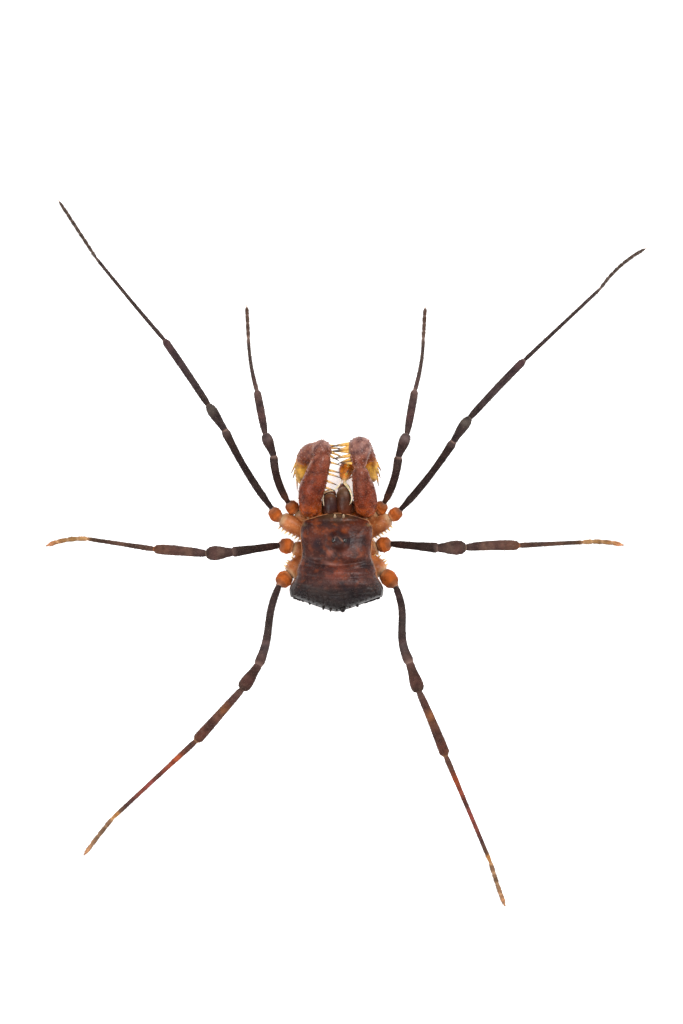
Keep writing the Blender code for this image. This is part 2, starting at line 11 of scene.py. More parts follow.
import bmesh
import bpy
import numpy as np
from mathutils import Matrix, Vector

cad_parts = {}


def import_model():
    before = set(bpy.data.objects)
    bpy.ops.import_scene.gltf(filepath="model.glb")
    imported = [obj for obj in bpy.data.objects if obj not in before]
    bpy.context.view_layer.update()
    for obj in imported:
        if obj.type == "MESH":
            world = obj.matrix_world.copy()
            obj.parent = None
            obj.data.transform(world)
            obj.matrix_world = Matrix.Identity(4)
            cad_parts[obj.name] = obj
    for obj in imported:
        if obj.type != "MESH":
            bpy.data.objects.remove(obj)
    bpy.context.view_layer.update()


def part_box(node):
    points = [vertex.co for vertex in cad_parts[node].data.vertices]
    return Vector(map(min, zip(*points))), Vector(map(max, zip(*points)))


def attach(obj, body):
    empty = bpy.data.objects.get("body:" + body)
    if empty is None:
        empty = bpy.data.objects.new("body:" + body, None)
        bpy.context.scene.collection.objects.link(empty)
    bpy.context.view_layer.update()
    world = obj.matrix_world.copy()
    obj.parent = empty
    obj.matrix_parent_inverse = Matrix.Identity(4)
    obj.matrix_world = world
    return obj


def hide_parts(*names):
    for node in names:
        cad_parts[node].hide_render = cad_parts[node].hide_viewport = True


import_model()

MM = 0.001
# Where the random draws of each piece start
SEEDS = {"plate": 11, "belly": 12, "rings": 13, "legs": 11, "palps": 51, "leg_hairs": 81, "palp_hairs": 101}
UP = np.array((0.0, 0.0, 1.0))
SIDES = {"left": 1, "right": -1}
DARK = (46, 37, 37)
DUSK = (58, 48, 49)
BONE = (140, 118, 108)
GOLD = (206, 160, 108)
CREAM = (222, 206, 178)

# Back plate
PLATE_FRONT = -1.62
PLATE_REAR = 1.62
PLATE_RIM = 1.64
PLATE_UNDERSIDE = 1.45
PLATE_SQUARENESS = 0.78
PLATE_FRONT_CURVE = 0.16
PLATE_REAR_CURVE = 0.45
PLATE_REAR_POINT = 1.2
PLATE_HALF_WIDTHS = ((-1.62, 1.02), (-1.10, 1.24), (-0.25, 1.14), (0.35, 1.32), (0.95, 1.62), (1.62, 1.56))
PLATE_HEIGHTS = ((-1.62, 0.42), (-0.80, 0.60), (-0.15, 0.66), (0.12, 0.57),
                 (0.38, 0.74), (0.80, 0.84), (1.62, 0.66))
PLATE_ROUNDING = 0.62
# Colours from front to rear, as stations of Y and colour
PLATE_COLOURS = ((-1.62, 96, 74, 48), (-1.42, 72, 48, 32), (-1.15, 82, 38, 26), (-0.70, 88, 42, 28),
                 (-0.15, 76, 40, 32), (0.10, 80, 46, 38), (0.45, 82, 46, 40), (0.84, 70, 46, 43),
                 (0.99, 54, 44, 43), (1.20, 46, 39, 39), (1.50, 34, 30, 30), (1.62, 30, 26, 27))
# Large spots of another colour: X, Y, radius and colour
PLATE_PATCHES = ((-0.06, -0.72, 0.30, 44, 28, 28), (0.64, -0.62, 0.21, 34, 28, 36),
                 (-0.86, -0.72, 0.19, 38, 28, 30), (-0.38, -0.70, 0.10, 34, 26, 30),
                 (-0.50, -0.70, 0.18, 40, 30, 36), (0.40, -1.25, 0.16, 52, 40, 42),
                 (0.45, -1.05, 0.15, 122, 62, 38), (0.25, -0.70, 0.15, 130, 68, 42),
                 (0.20, -0.30, 0.14, 142, 92, 78), (-0.26, -1.05, 0.11, 138, 70, 36),
                 (-0.80, -0.42, 0.13, 134, 66, 34), (-0.35, -0.25, 0.15, 112, 52, 34),
                 (0.0, 0.28, 0.34, 116, 58, 44), (0.9, 0.0, 0.16, 52, 42, 46), (-0.9, 0.05, 0.16, 58, 44, 44),
                 (0.75, -1.20, 0.14, 108, 54, 32), (-0.75, -1.15, 0.14, 96, 52, 38))
# How much fine red mottling the plate takes, by place from front to rear
PLATE_WARMTH = ((-1.6, 0.3), (-1.2, 1), (-0.2, 0.9), (0.6, 0.6), (1.0, 0.05))
GRANULE_TRIES = 2200
RIM_BEAD = 0.05
SIDE_STUDS = 26
# Rows of tubercles at the rear: distance from the edge, half spread, count, width and length
REAR_ROWS = ((0.14, 1.40, 24, 0.08, 0.045), (0.30, 1.36, 22, 0.08, 0.04))
# Knobs of the rear edge: place across, width and length
REAR_KNOBS = ((1.34, 0.06, 0.02), (1.10, 0.06, 0.03), (0.88, 0.09, 0.06), (0.66, 0.07, 0.03),
              (0.43, 0.11, 0.11), (0.19, 0.11, 0.11), (-0.01, 0.08, 0.05), (-0.20, 0.24, 0.14),
              (-0.45, 0.08, 0.04), (-0.69, 0.12, 0.09), (-0.94, 0.07, 0.03), (-1.18, 0.07, 0.04),
              (-1.40, 0.09, 0.05))
MOUND = (-0.09, -0.72)
MOUND_RADIUS = 0.27
MOUND_HEIGHT = 0.25
EYE_SPREAD = 0.165
EYE_RADIUS = 0.088
EYE_HEIGHT = 2.36
# Ridge over the front of the mound, with a painted highlight along its left half: X and Y
BROW = ((0.10, -0.77), (0.05, -0.81), (-0.01, -0.85), (-0.07, -0.83), (-0.14, -0.76), (-0.20, -0.70))
LID_GAP = 0.008
LID_WIDTH = 0.028
# Spots without red mottling: X, Y and radius
COOL_SPOTS = ((*MOUND, 0.40), (0.64, -0.62, 0.26), (-0.86, -0.72, 0.24), (-0.50, -0.70, 0.18))

# Underside: widths from front to rear, the lowest line and the length of one sternite
BELLY_HALF_WIDTHS = ((-0.37, 0.80), (0.40, 1.10), (0.95, 1.42), (1.5, 1.36))
BELLY_LOWS = ((-0.37, 0.74), (0.10, 0.60), (0.80, 0.56), (1.25, 0.66), (1.5, 0.90))
BELLY_MIDDLE = 1.2
STERNITE = 0.21
# Free rings of the rear, the last one the anal plate: height, rearmost place and half width
RINGS = ((1.40, 1.53, 1.40), (1.20, 1.57, 1.30), (1.00, 1.55, 1.12), (0.80, 1.47, 0.62))
RING_THICKNESS = 0.10
# Coxae of the legs: where each one starts under the body, its elbow and its width
COXAE = {
    1: ((0.35, -0.95, 0.88), (0.75, -1.25, 0.90), 0.46),
    2: ((0.40, -0.62, 0.90), (1.05, -1.02, 0.92), 0.56),
    3: ((0.40, -0.20, 0.90), (0.80, -0.32, 0.90), 0.50),
    4: ((0.50, -0.30, 0.90), (1.14, 0.02, 0.94), 0.60),
}
COXA_PROFILE = ((0, 0.8), (0.45, 1), (0.80, 1.04), (0.95, 0.86), (1, 0.5))
COXA_COLOURS = ((0, 146, 92, 56), (0.5, 176, 102, 54), (0.88, 180, 110, 64), (0.96, 186, 142, 104),
                (1, 196, 168, 136))
COXA_GRANULES = 90
# Combs of spines on the coxae: how many, how long and how far rearward they face
COMBS = {2: (7, 0.17, 1.0), 3: (4, 0.12, 0.1), 4: (6, 0.16, 0.1)}
COMB_COLOURS = ((0, 206, 140, 80), (0.5, 236, 206, 140), (1, 250, 236, 196))
PALP_COXA = ((0.40, -0.95, 0.94), (0.52, -1.40, 1.04), (0.54, -1.78, 1.14), (0.50, -2.02, 1.20))
PALP_COXA_WIDTHS = ((0, 0.40), (0.4, 0.50), (0.8, 0.44), (0.94, 0.34), (1, 0.20))
PALP_COXA_COLOURS = ((0, 150, 92, 54), (0.6, 158, 86, 40), (1, 120, 66, 38))
MOUTH_LOBE = ((0.17, -1.05, 0.86), (0.17, -1.35, 0.84), (0.15, -1.62, 0.92))
MOUTH_LOBE_WIDTHS = ((0, 0.26), (0.6, 0.34), (0.9, 0.26), (1, 0.12))

# Legs: heights of trochanter, knee, end of patella, heel joint, start of tarsus and toe
LEG_HEIGHTS = {
    1: (1.12, 2.05, 2.02, 1.30, 0.16, 0.06),
    2: (1.12, 2.45, 2.50, 1.60, 0.16, 0.06),
    3: (1.10, 2.05, 2.02, 1.25, 0.17, 0.07),
    4: (1.14, 2.15, 2.15, 1.30, 0.17, 0.07),
}
FEMUR_RISE = 0.12
# Each leg: its trochanter, where the femur starts, then the heading, length in plan and sideways
# bow of the femur, patella, tibia, metatarsus and tarsus
LEGS = {
    "left_leg_1": ((1.453, -1.81), (1.606, -1.992), (17.2, 21.5, 10.9, 9.4, 3.1),
                   (1.62, 0.77, 1.45, 1.78, 1.05), (29, 0, 0, 12, 0)),
    "left_leg_2": ((2.003, -1.557), (2.148, -1.782), (30.9, 33.4, 34.1, 39.8, 33.1),
                   (3.06, 0.99, 2.59, 3.58, 2.24), (11, 0, -2, 2, 0)),
    "left_leg_3": ((1.66, -0.533), (1.919, -0.556), (98.2, 93.2, 85.1, 81.4, 98.8),
                   (1.57, 0.85, 1.73, 2.26, 1.35), (0, 0, -4, 0, -27)),
    "left_leg_4": ((1.733, 0.567), (1.91, 0.775), (165.5, 145.7, 138.3, 132.9, 142.1),
                   (2.74, 0.96, 2.29, 3.8, 1.51), (0, 0, 0, 0, -4)),
    "right_leg_1": ((1.467, -1.797), (1.587, -1.975), (17.0, 21.0, 10.3, 9.5, 3.4),
                    (1.6, 0.8, 1.47, 1.76, 1.02), (23, 0, 0, 13, 0)),
    "right_leg_2": ((1.93, -1.573), (2.119, -1.737), (37.8, 34.6, 43.5, 46.7, 48.4),
                    (2.89, 0.95, 2.62, 3.53, 1.97), (11, -8, -3, 0, -28)),
    "right_leg_3": ((1.573, -0.577), (1.828, -0.607), (94.9, 89.0, 87.9, 87.2, 93.6),
                    (1.56, 0.91, 1.77, 2.13, 1.32), (0, 0, -8, 0, -20)),
    "right_leg_4": ((1.707, 0.51), (1.97, 0.819), (169.6, 162.0, 157.4, 157.2, 161.6),
                    (2.59, 0.98, 2.3, 3.88, 1.48), (4, 0, -4, 0, 4)),
}
FEMUR_SWAY = {"left_leg_4": -0.06, "right_leg_4": -0.09}
ARCHES = (0.16, 0.06, 0.10, 0.10, -0.03)
# Width along femur, patella, tibia and metatarsus, as stations of share and width
LEG_WIDTHS = {
    1: (
        ((0, 0.15), (0.06, 0.175), (0.15, 0.24), (0.35, 0.262), (0.65, 0.26), (0.80, 0.272), (0.95, 0.285),
         (1, 0.22)),
        ((0, 0.21), (0.06, 0.23), (0.20, 0.25), (0.35, 0.29), (0.50, 0.34), (0.66, 0.37), (0.82, 0.355),
         (0.94, 0.30), (1, 0.18)),
        ((0, 0.16), (0.06, 0.195), (0.20, 0.24), (0.40, 0.262), (0.65, 0.27), (0.85, 0.262), (0.95, 0.25),
         (1, 0.17)),
        ((0, 0.13), (0.06, 0.15), (0.20, 0.145), (0.50, 0.125), (0.80, 0.112), (0.94, 0.12), (1, 0.10)),
    ),
    2: (
        ((0, 0.15), (0.06, 0.185), (0.18, 0.245), (0.35, 0.25), (0.60, 0.235), (0.80, 0.255), (0.95, 0.295),
         (1, 0.22)),
        ((0, 0.22), (0.06, 0.235), (0.20, 0.25), (0.35, 0.29), (0.50, 0.33), (0.68, 0.355), (0.84, 0.325),
         (0.95, 0.24), (1, 0.16)),
        ((0, 0.18), (0.06, 0.22), (0.20, 0.235), (0.50, 0.245), (0.80, 0.255), (0.95, 0.255), (1, 0.17)),
        ((0, 0.12), (0.06, 0.14), (0.20, 0.13), (0.50, 0.12), (0.80, 0.112), (0.94, 0.112), (1, 0.09)),
    ),
    3: (
        ((0, 0.17), (0.06, 0.21), (0.20, 0.25), (0.50, 0.265), (0.70, 0.305), (0.95, 0.345), (1, 0.26)),
        ((0, 0.27), (0.06, 0.30), (0.20, 0.335), (0.35, 0.41), (0.50, 0.46), (0.66, 0.49), (0.84, 0.45),
         (0.95, 0.34), (1, 0.22)),
        ((0, 0.20), (0.06, 0.25), (0.20, 0.295), (0.40, 0.32), (0.70, 0.345), (0.85, 0.345), (0.95, 0.31),
         (1, 0.19)),
        ((0, 0.15), (0.06, 0.185), (0.20, 0.18), (0.35, 0.165), (0.50, 0.15), (0.80, 0.14), (0.95, 0.135),
         (1, 0.11)),
    ),
    4: (
        ((0, 0.18), (0.06, 0.22), (0.20, 0.245), (0.50, 0.255), (0.68, 0.28), (0.80, 0.30), (0.95, 0.345),
         (1, 0.27)),
        ((0, 0.27), (0.06, 0.29), (0.20, 0.30), (0.35, 0.34), (0.50, 0.40), (0.70, 0.445), (0.85, 0.44),
         (0.95, 0.36), (1, 0.22)),
        ((0, 0.19), (0.06, 0.235), (0.20, 0.26), (0.40, 0.28), (0.65, 0.32), (0.85, 0.345), (0.95, 0.35),
         (1, 0.22)),
        ((0, 0.16), (0.06, 0.195), (0.20, 0.18), (0.35, 0.155), (0.65, 0.142), (0.95, 0.14), (1, 0.11)),
    ),
}
TARSUS_WIDTHS = {1: 0.128, 2: 0.115, 3: 0.16, 4: 0.155}
TARSOMERES = {1: 4, 2: 9, 3: 4, 4: 4}
TROCHANTER_WIDTHS = {1: 0.46, 2: 0.45, 3: 0.53, 4: 0.56}
TROCHANTER_PROFILE = ((0, 0.42), (0.10, 0.80), (0.36, 1), (0.62, 0.90), (0.86, 0.42))
NECK_WIDTH = 0.15
TARSOMERE_POINTS = 25
# Colours along femur, patella, tibia, metatarsus and tarsus, as stations of share and colour
LEG_COLOURS = {
    1: (
        ((0, 50, 34, 30), (0.15, 84, 56, 44), (0.35, 50, 36, 33), (0.65, 54, 40, 38), (0.94, 62, 50, 48),
         (0.985, 110, 90, 84), (1, *BONE)),
        # Painted highlight: the lighter station at share 0.75 of this patella is shine on the bulb of the
        # knee
        ((0, 92, 78, 76), (0.08, *DUSK), (0.35, 54, 42, 42), (0.55, 72, 56, 54), (0.75, 96, 82, 82),
         (0.93, 82, 70, 72), (1, 116, 98, 94)),
        ((0, 70, 58, 58), (0.20, 60, 48, 49), (0.35, 84, 62, 62), (0.65, 68, 56, 56), (0.85, 86, 68, 66),
         (0.96, 104, 84, 82), (1, *BONE)),
        ((0, 104, 88, 84), (0.10, 90, 72, 70), (0.30, 68, 58, 58), (0.60, 74, 64, 62), (0.85, 64, 54, 54),
         (0.96, 116, 98, 90), (1, *BONE)),
        ((0, 150, 128, 116), (0.15, 90, 72, 66), (0.50, 84, 66, 60), (1, 96, 76, 68)),
    ),
    2: (
        ((0, *DARK), (0.30, 50, 42, 41), (0.60, *DARK), (0.90, 52, 42, 40), (0.98, 80, 68, 66), (1, *BONE)),
        # Painted highlight: the lighter station at share 0.75 of this patella is shine on the bulb of the
        # knee
        ((0, 72, 62, 62), (0.10, 54, 46, 48), (0.50, 58, 50, 50), (0.75, 84, 78, 74), (0.94, 68, 62, 60),
         (1, 106, 94, 88)),
        ((0, 50, 42, 42), (0.30, 58, 50, 52), (0.50, 66, 56, 58), (0.75, 58, 48, 51), (0.95, 78, 58, 62),
         (1, 116, 98, 94)),
        ((0, 60, 50, 50), (0.10, 58, 50, 52), (0.50, 58, 50, 50), (0.93, 60, 52, 54), (0.985, 106, 94, 88),
         (1, *BONE)),
        ((0, 84, 76, 72), (0.30, 66, 58, 54), (1, 72, 62, 58)),
    ),
    3: (
        ((0, 54, 40, 36), (0.20, 52, 36, 34), (0.60, 46, 36, 34), (0.90, 52, 42, 40), (0.975, 84, 70, 66),
         (1, *BONE)),
        ((0, 84, 66, 62), (0.10, 66, 52, 50), (0.45, 90, 72, 66), (0.65, 88, 66, 62), (0.93, 70, 56, 52),
         (1, 150, 128, 112)),
        ((0, 70, 56, 54), (0.15, 76, 58, 56), (0.33, 104, 80, 70), (0.50, 92, 68, 62), (0.80, 98, 70, 60),
         (0.94, 108, 74, 58), (1, 176, 112, 72)),
        ((0, 96, 72, 62), (0.10, 86, 64, 56), (0.30, 68, 52, 48), (0.50, 94, 70, 60), (0.80, 66, 52, 44),
         (0.93, 88, 66, 48), (1, 176, 134, 96)),
        ((0, 188, 148, 104), (0.30, 170, 132, 84), (0.55, 148, 112, 70), (0.75, 176, 128, 82),
         (1, 204, 142, 102)),
    ),
    4: (
        ((0, 54, 42, 42), (0.35, 66, 55, 55), (0.50, 55, 49, 48), (0.69, 62, 52, 52), (0.72, 86, 70, 70),
         (0.78, 78, 68, 69), (0.94, 80, 63, 60), (0.985, 116, 94, 88), (1, *BONE)),
        ((0, 96, 74, 72), (0.10, 80, 60, 56), (0.35, 68, 50, 45), (0.65, 86, 60, 55), (0.93, 70, 54, 48),
         (1, 110, 88, 80)),
        ((0, 92, 72, 66), (0.20, 88, 62, 58), (0.36, 124, 82, 56), (0.50, 104, 72, 60), (0.65, 80, 56, 50),
         (0.85, 96, 62, 53), (0.95, 100, 66, 52), (1, 160, 120, 84)),
        ((0, 112, 80, 66), (0.05, 84, 60, 54), (0.13, 94, 62, 52), (0.21, 160, 80, 50), (0.34, 142, 72, 56),
         (0.45, 88, 58, 54), (0.54, 148, 74, 68), (0.66, 136, 74, 64), (0.79, 86, 62, 62),
         (0.90, 98, 74, 62), (0.965, 208, 150, 86), (1, *GOLD)),
        ((0, 196, 154, 108), (0.12, 134, 104, 80), (0.50, 142, 116, 90), (0.80, 178, 136, 100),
         (1, 196, 146, 106)),
    ),
}
TARSUS_JOINT_COLOURS = {1: BONE, 2: (116, 104, 98), 3: (206, 168, 130), 4: (206, 168, 130)}
TROCHANTER_COLOURS = ((0, 196, 168, 136), (0.08, 176, 116, 76), (0.32, 182, 98, 46), (0.60, 176, 92, 38),
                      (0.80, 146, 88, 56), (1, *BONE))
CLAW_COLOURS = ((0, 206, 150, 96), (0.6, 150, 96, 54), (1, 70, 48, 38))

# Palps: each part as stations of X outward, Y, Z and width
PALPS = {
    "left": {
        "trochanter": ((0.48, -1.20, 1.08, 0.30), (0.58, -1.40, 1.18, 0.46), (0.70, -1.56, 1.28, 0.50),
                       (0.78, -1.66, 1.34, 0.40)),
        "femur": ((0.78, -1.60, 1.30, 0.40), (0.84, -1.74, 1.42, 0.71), (0.875, -2.05, 1.62, 0.76),
                  (0.83, -2.40, 1.84, 0.85), (0.71, -2.74, 1.97, 0.79), (0.61, -3.07, 2.04, 0.72),
                  (0.50, -3.42, 2.06, 0.63), (0.49, -3.66, 2.03, 0.57)),
        "patella": ((0.49, -3.40, 2.00, 0.48), (0.49, -3.52, 2.02, 0.62), (0.50, -3.68, 1.98, 0.67),
                    (0.53, -3.84, 1.86, 0.62), (0.58, -3.98, 1.74, 0.50)),
        "tibia": ((0.50, -3.66, 1.86, 0.50), (0.68, -3.70, 1.76, 0.56), (0.86, -3.66, 1.64, 0.59),
                  (1.01, -3.52, 1.46, 0.58), (1.12, -3.30, 1.26, 0.50), (1.16, -3.02, 1.12, 0.44),
                  (1.14, -2.78, 1.04, 0.38), (1.07, -2.60, 0.98, 0.26)),
        "tarsus": ((1.05, -2.56, 0.96, 0.24), (0.94, -2.34, 0.92, 0.32), (0.76, -2.18, 0.92, 0.32),
                   (0.60, -2.16, 1.04, 0.26), (0.51, -2.19, 1.16, 0.14)),
        "claw": ((0.54, -2.16, 1.12, 0.12), (0.50, -2.20, 1.30, 0.10), (0.42, -2.30, 1.50, 0.09),
                 (0.25, -2.37, 1.62, 0.075), (0.08, -2.40, 1.64, 0.065), (-0.06, -2.52, 1.62, 0.05),
                 (-0.16, -2.68, 1.58, 0.035), (-0.24, -2.80, 1.52, 0.012)),
    },
    "right": {
        "trochanter": ((0.52, -1.20, 1.08, 0.30), (0.64, -1.40, 1.18, 0.46), (0.78, -1.56, 1.28, 0.50),
                       (0.86, -1.66, 1.34, 0.40)),
        "femur": ((0.88, -1.60, 1.30, 0.40), (0.96, -1.74, 1.42, 0.71), (0.965, -2.05, 1.62, 0.78),
                  (0.90, -2.45, 1.84, 0.74), (0.83, -2.74, 1.97, 0.62), (0.78, -3.04, 2.03, 0.54),
                  (0.76, -3.18, 2.03, 0.50)),
        "patella": ((0.76, -3.06, 2.02, 0.40), (0.76, -3.26, 2.02, 0.45), (0.77, -3.50, 2.00, 0.61),
                    (0.78, -3.74, 1.93, 0.74), (0.785, -3.94, 1.85, 0.73), (0.79, -4.13, 1.75, 0.66)),
        "tibia": ((0.84, -4.00, 1.62, 0.32), (0.92, -3.84, 1.48, 0.48), (1.00, -3.60, 1.34, 0.50),
                  (1.10, -3.38, 1.22, 0.46), (1.17, -3.10, 1.12, 0.42), (1.17, -2.84, 1.04, 0.38),
                  (1.12, -2.66, 1.00, 0.28)),
        "tarsus": ((1.10, -2.64, 0.98, 0.24), (0.96, -2.72, 0.98, 0.34), (0.74, -2.98, 1.06, 0.40),
                   (0.52, -3.16, 1.22, 0.46), (0.34, -3.12, 1.36, 0.48), (0.28, -2.88, 1.46, 0.38),
                   (0.27, -2.70, 1.52, 0.22)),
        "claw": ((0.27, -2.76, 1.50, 0.14), (0.28, -2.63, 1.65, 0.11), (0.38, -2.50, 1.78, 0.09),
                 (0.47, -2.35, 1.84, 0.078), (0.515, -2.17, 1.85, 0.064), (0.49, -2.01, 1.83, 0.042),
                 (0.41, -1.88, 1.79, 0.012)),
    },
}
PALP_COLOURS = {
    "trochanter": ((0, *CREAM), (0.25, 176, 98, 44), (1, 166, 80, 26)),
    "femur": ((0, 176, 94, 34), (0.15, 174, 84, 28), (0.32, 136, 60, 27), (0.50, 130, 58, 34),
              (0.80, 128, 66, 46), (0.95, 150, 92, 74), (1, 168, 124, 104)),
    # Painted highlight: the pale start of the patella is a band of shine where it meets the femur
    "patella": ((0, 190, 130, 108), (0.08, 178, 120, 98), (0.17, 128, 64, 44), (0.32, 132, 78, 62),
                (0.50, 154, 114, 106), (0.85, 154, 116, 110), (1, 100, 64, 54)),
    "tibia": ((0, 136, 96, 88), (0.18, 148, 98, 84), (0.36, 130, 66, 44), (0.46, 156, 84, 36),
              (0.54, 236, 162, 58), (0.64, 255, 204, 88), (0.88, 246, 200, 104), (1, 212, 164, 100)),
    "tarsus": ((0, 232, 158, 64), (0.40, 246, 140, 28), (0.75, 252, 148, 32), (0.92, 242, 156, 60),
               (1, 232, 188, 126)),
    "claw": ((0, 206, 156, 92), (0.25, 226, 204, 160), (0.80, 232, 214, 182), (1, 120, 92, 62)),
}
# Granules of a palp: part, count, least and greatest angle, last share, least and greatest width
PALP_GRANULES = (
    ("femur", 380, (15, 165), 0.92, (0.020, 0.042)),
    ("femur", 60, (10, 170), 0.92, (0.045, 0.066)),
    ("patella", 260, (0, 360), 0.92, (0.020, 0.044)),
    ("patella", 36, (0, 360), 0.92, (0.045, 0.07)),
    ("tibia", 160, (0, 360), 0.5, (0.020, 0.044)),
)
# Spines of the palps: part, first and last share, count, angle from the outer side, length, lean
# toward the tip of the palp, and width. Angle 90 is upward, 180 toward the other palp
SPINES = {
    "left": (
        ("femur", 0.18, 0.88, 6, -104, 0.44, 0.05, 0.11),
        ("femur", 0.53, 0.88, 5, 182, 0.44, 0.08, 0.11),
        ("patella", 0.20, 0.70, 4, 185, 0.42, -0.25, 0.11),
        ("tibia", 0.30, 0.88, 5, 205, 0.48, 0.15, 0.12),
        ("tibia", 0.60, 0.88, 3, 4, 0.40, 4.4, 0.09),
        ("tarsus", 0.15, 0.85, 4, 100, 0.30, 0.2, 0.10),
        ("tarsus", 0.15, 0.85, 4, -60, 0.30, 0.2, 0.10),
    ),
    "right": (
        ("femur", 0.18, 0.88, 6, -92, 0.44, 0.05, 0.11),
        ("patella", 0.42, 0.78, 4, 178, 0.60, -0.02, 0.17),
        ("patella", 0.18, 0.32, 2, 184, 0.50, -0.12, 0.13),
        ("tibia", 0.10, 0.85, 6, 205, 0.50, 0.15, 0.12),
        ("tibia", 0.60, 0.86, 3, 4, 0.38, 4.4, 0.09),
        ("tarsus", 0.15, 0.40, 2, 150, 0.20, 0.5, 0.08),
        ("tarsus", 0.15, 0.90, 5, -80, 0.34, 0.1, 0.11),
    ),
}
# Painted highlight: a pale streak of shine along the outer edge of each palp's femur: middle and half length,
# angle and half width
RIM_HIGHLIGHTS = {"left": (0.76, 0.15, 18, 12), "right": (0.70, 0.12, 24, 9)}
SPINE_COLOURS = ((0, 206, 128, 44), (0.16, 234, 186, 92), (0.42, 214, 164, 84), (0.62, 120, 90, 56),
                 (0.76, 46, 36, 34), (1, 30, 25, 28))

# Pincers: base of each, and its pale raised margin, as stations of X outward, Y, Z and width
PINCERS = {
    "left": ((0.20, -1.30, 1.22, 0.36), (0.20, -1.50, 1.36, 0.45), (0.20, -1.75, 1.47, 0.49),
             (0.205, -1.98, 1.52, 0.48), (0.21, -2.15, 1.50, 0.46), (0.21, -2.26, 1.44, 0.40)),
    "right": ((0.22, -1.30, 1.22, 0.36), (0.24, -1.50, 1.36, 0.46), (0.26, -1.80, 1.48, 0.52),
              (0.27, -2.12, 1.57, 0.53), (0.26, -2.32, 1.56, 0.52), (0.25, -2.46, 1.49, 0.46)),
}
PINCER_RIMS = {
    "left": ((0.47, -2.26, 1.56, 0.05), (0.475, -2.20, 1.60, 0.10), (0.45, -2.08, 1.60, 0.05),
             (0.41, -1.92, 1.60, 0.07), (0.36, -1.80, 1.58, 0.05), (0.32, -1.72, 1.56, 0.02)),
    "right": ((0.24, -2.22, 1.79, 0.02), (0.30, -2.20, 1.80, 0.045), (0.38, -2.20, 1.78, 0.045),
              (0.46, -2.24, 1.72, 0.02)),
}
PINCER_COLOURS = {
    "left": ((0, 120, 70, 40), (0.25, 98, 48, 26), (0.45, 82, 42, 26), (0.62, 56, 32, 32),
             (0.80, 68, 40, 32), (0.93, 112, 74, 48), (1, 206, 176, 130)),
    "right": ((0, 120, 70, 40), (0.25, 104, 50, 26), (0.50, 90, 44, 24), (0.72, 76, 44, 30),
              (0.88, 104, 76, 56), (1, 150, 118, 90)),
}
# Hand and one of its two fingers, from the end of the base
HAND = ((0, 0.10, -0.02, 0.24), (0, 0.03, -0.16, 0.40), (0, 0.06, -0.36, 0.42), (-0.02, 0.12, -0.52, 0.30),
        (-0.03, 0.15, -0.60, 0.18))
HAND_COLOURS = ((0, *CREAM), (0.12, 120, 72, 50), (0.5, 128, 70, 44), (1, 168, 104, 58))
FINGER = ((0.036, 0.13, -0.54, 0.15), (0.081, 0.12, -0.66, 0.11), (0.018, 0.14, -0.78, 0.03))
FINGER_COLOURS = ((0, 140, 80, 46), (1, 60, 40, 34))

# Profiles of small grown forms, as height and width shares from the root up
HAIR_PROFILE = ((0, 1.0), (0.5, 0.7))
SPINE_PROFILE = ((0, 1.0), (0.10, 0.80), (0.30, 0.66), (0.50, 0.54), (0.68, 0.42), (0.84, 0.26), (0.94, 0.14))
GRANULE_PROFILE = ((0, 1.0), (0.40, 0.90), (0.72, 0.66), (0.93, 0.34))
TUBERCLE_PROFILE = ((0, 1.0), (0.35, 0.80), (0.65, 0.50), (0.88, 0.24))
# One granule: least and greatest width, depth of its root, lean, length for its width, added length, sides
COXA_GRANULE = (0.025, 0.05, 0.01, 0, 0.9, 0, 6)
LEG_GRANULE = (0.014, 0.028, 0.006, 0.3, 0.6, 0.006, 5)
# Granules on a millimetre of trochanter, femur, patella and tibia
LEG_GRANULES = (90, 34, 34, 34)
# The same for a palp, without the widths
PALP_GRANULE = (0.01, 0.25, 0.5, 0.01, 8)
# Round ends: how far a limb's width is drawn in from them, and how far they stand out
DOME_SHARE = 0.42
END_BULGE = 0.35
LEAST_WIDTH = 0.012
# Hairs of a leg's six parts: how many on a millimetre, length and colour
BROWN_HAIR = (112, 90, 76)
PALE_HAIR = (128, 104, 86)
LEG_HAIRS = ((40, 0.05, BROWN_HAIR), (130, 0.055, BROWN_HAIR), (130, 0.055, BROWN_HAIR),
             (150, 0.065, BROWN_HAIR), (170, 0.06, PALE_HAIR), (240, 0.06, PALE_HAIR))
# Hairs of a palp: part, count and length
PALP_HAIRS = (("femur", 260, 0.06), ("patella", 160, 0.06), ("tibia", 200, 0.09), ("tarsus", 200, 0.11))
HAIR_SIDES = 3
# Places on the unwrap of one hair's points, from its root up
HAIR_CORNERS = np.array([(k / HAIR_SIDES, ring / 2) for ring in range(len(HAIR_PROFILE))
                         for k in range(HAIR_SIDES)] + [(0.5, 1.0)]) * 0.003
FLOOR_CLEARANCE = 0.01

# Studio: the camera in millimetres, then the floor and the lights in metres and watts
CAMERA_AIM = (-0.167, -1.667)
CAMERA_HEIGHT = 568.8
CAMERA_LENS = 600
CAMERA_SENSOR = 36
FLOOR_REACH = 1.5
WHITE = (1, 1, 1, 1)
WORLD_STRENGTH = 0.55
LIGHTS = (("key", (-0.10, -0.12, 0.26), 0.16, 0.9), ("fill", (0.16, 0.10, 0.22), 0.18, 0.45))

# From millimetres round the plate to the row frame, by the middle between the eyes
EYE_MIDDLE = (-0.08, -0.75)
eyes = [np.array(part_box(node)).mean(axis=0) / MM for node in ("eye_left", "eye_right")]
SHIFT = np.append((eyes[0] + eyes[1])[:2] / 2 - EYE_MIDDLE, 0)

Patch = namedtuple("Patch", "points faces along")


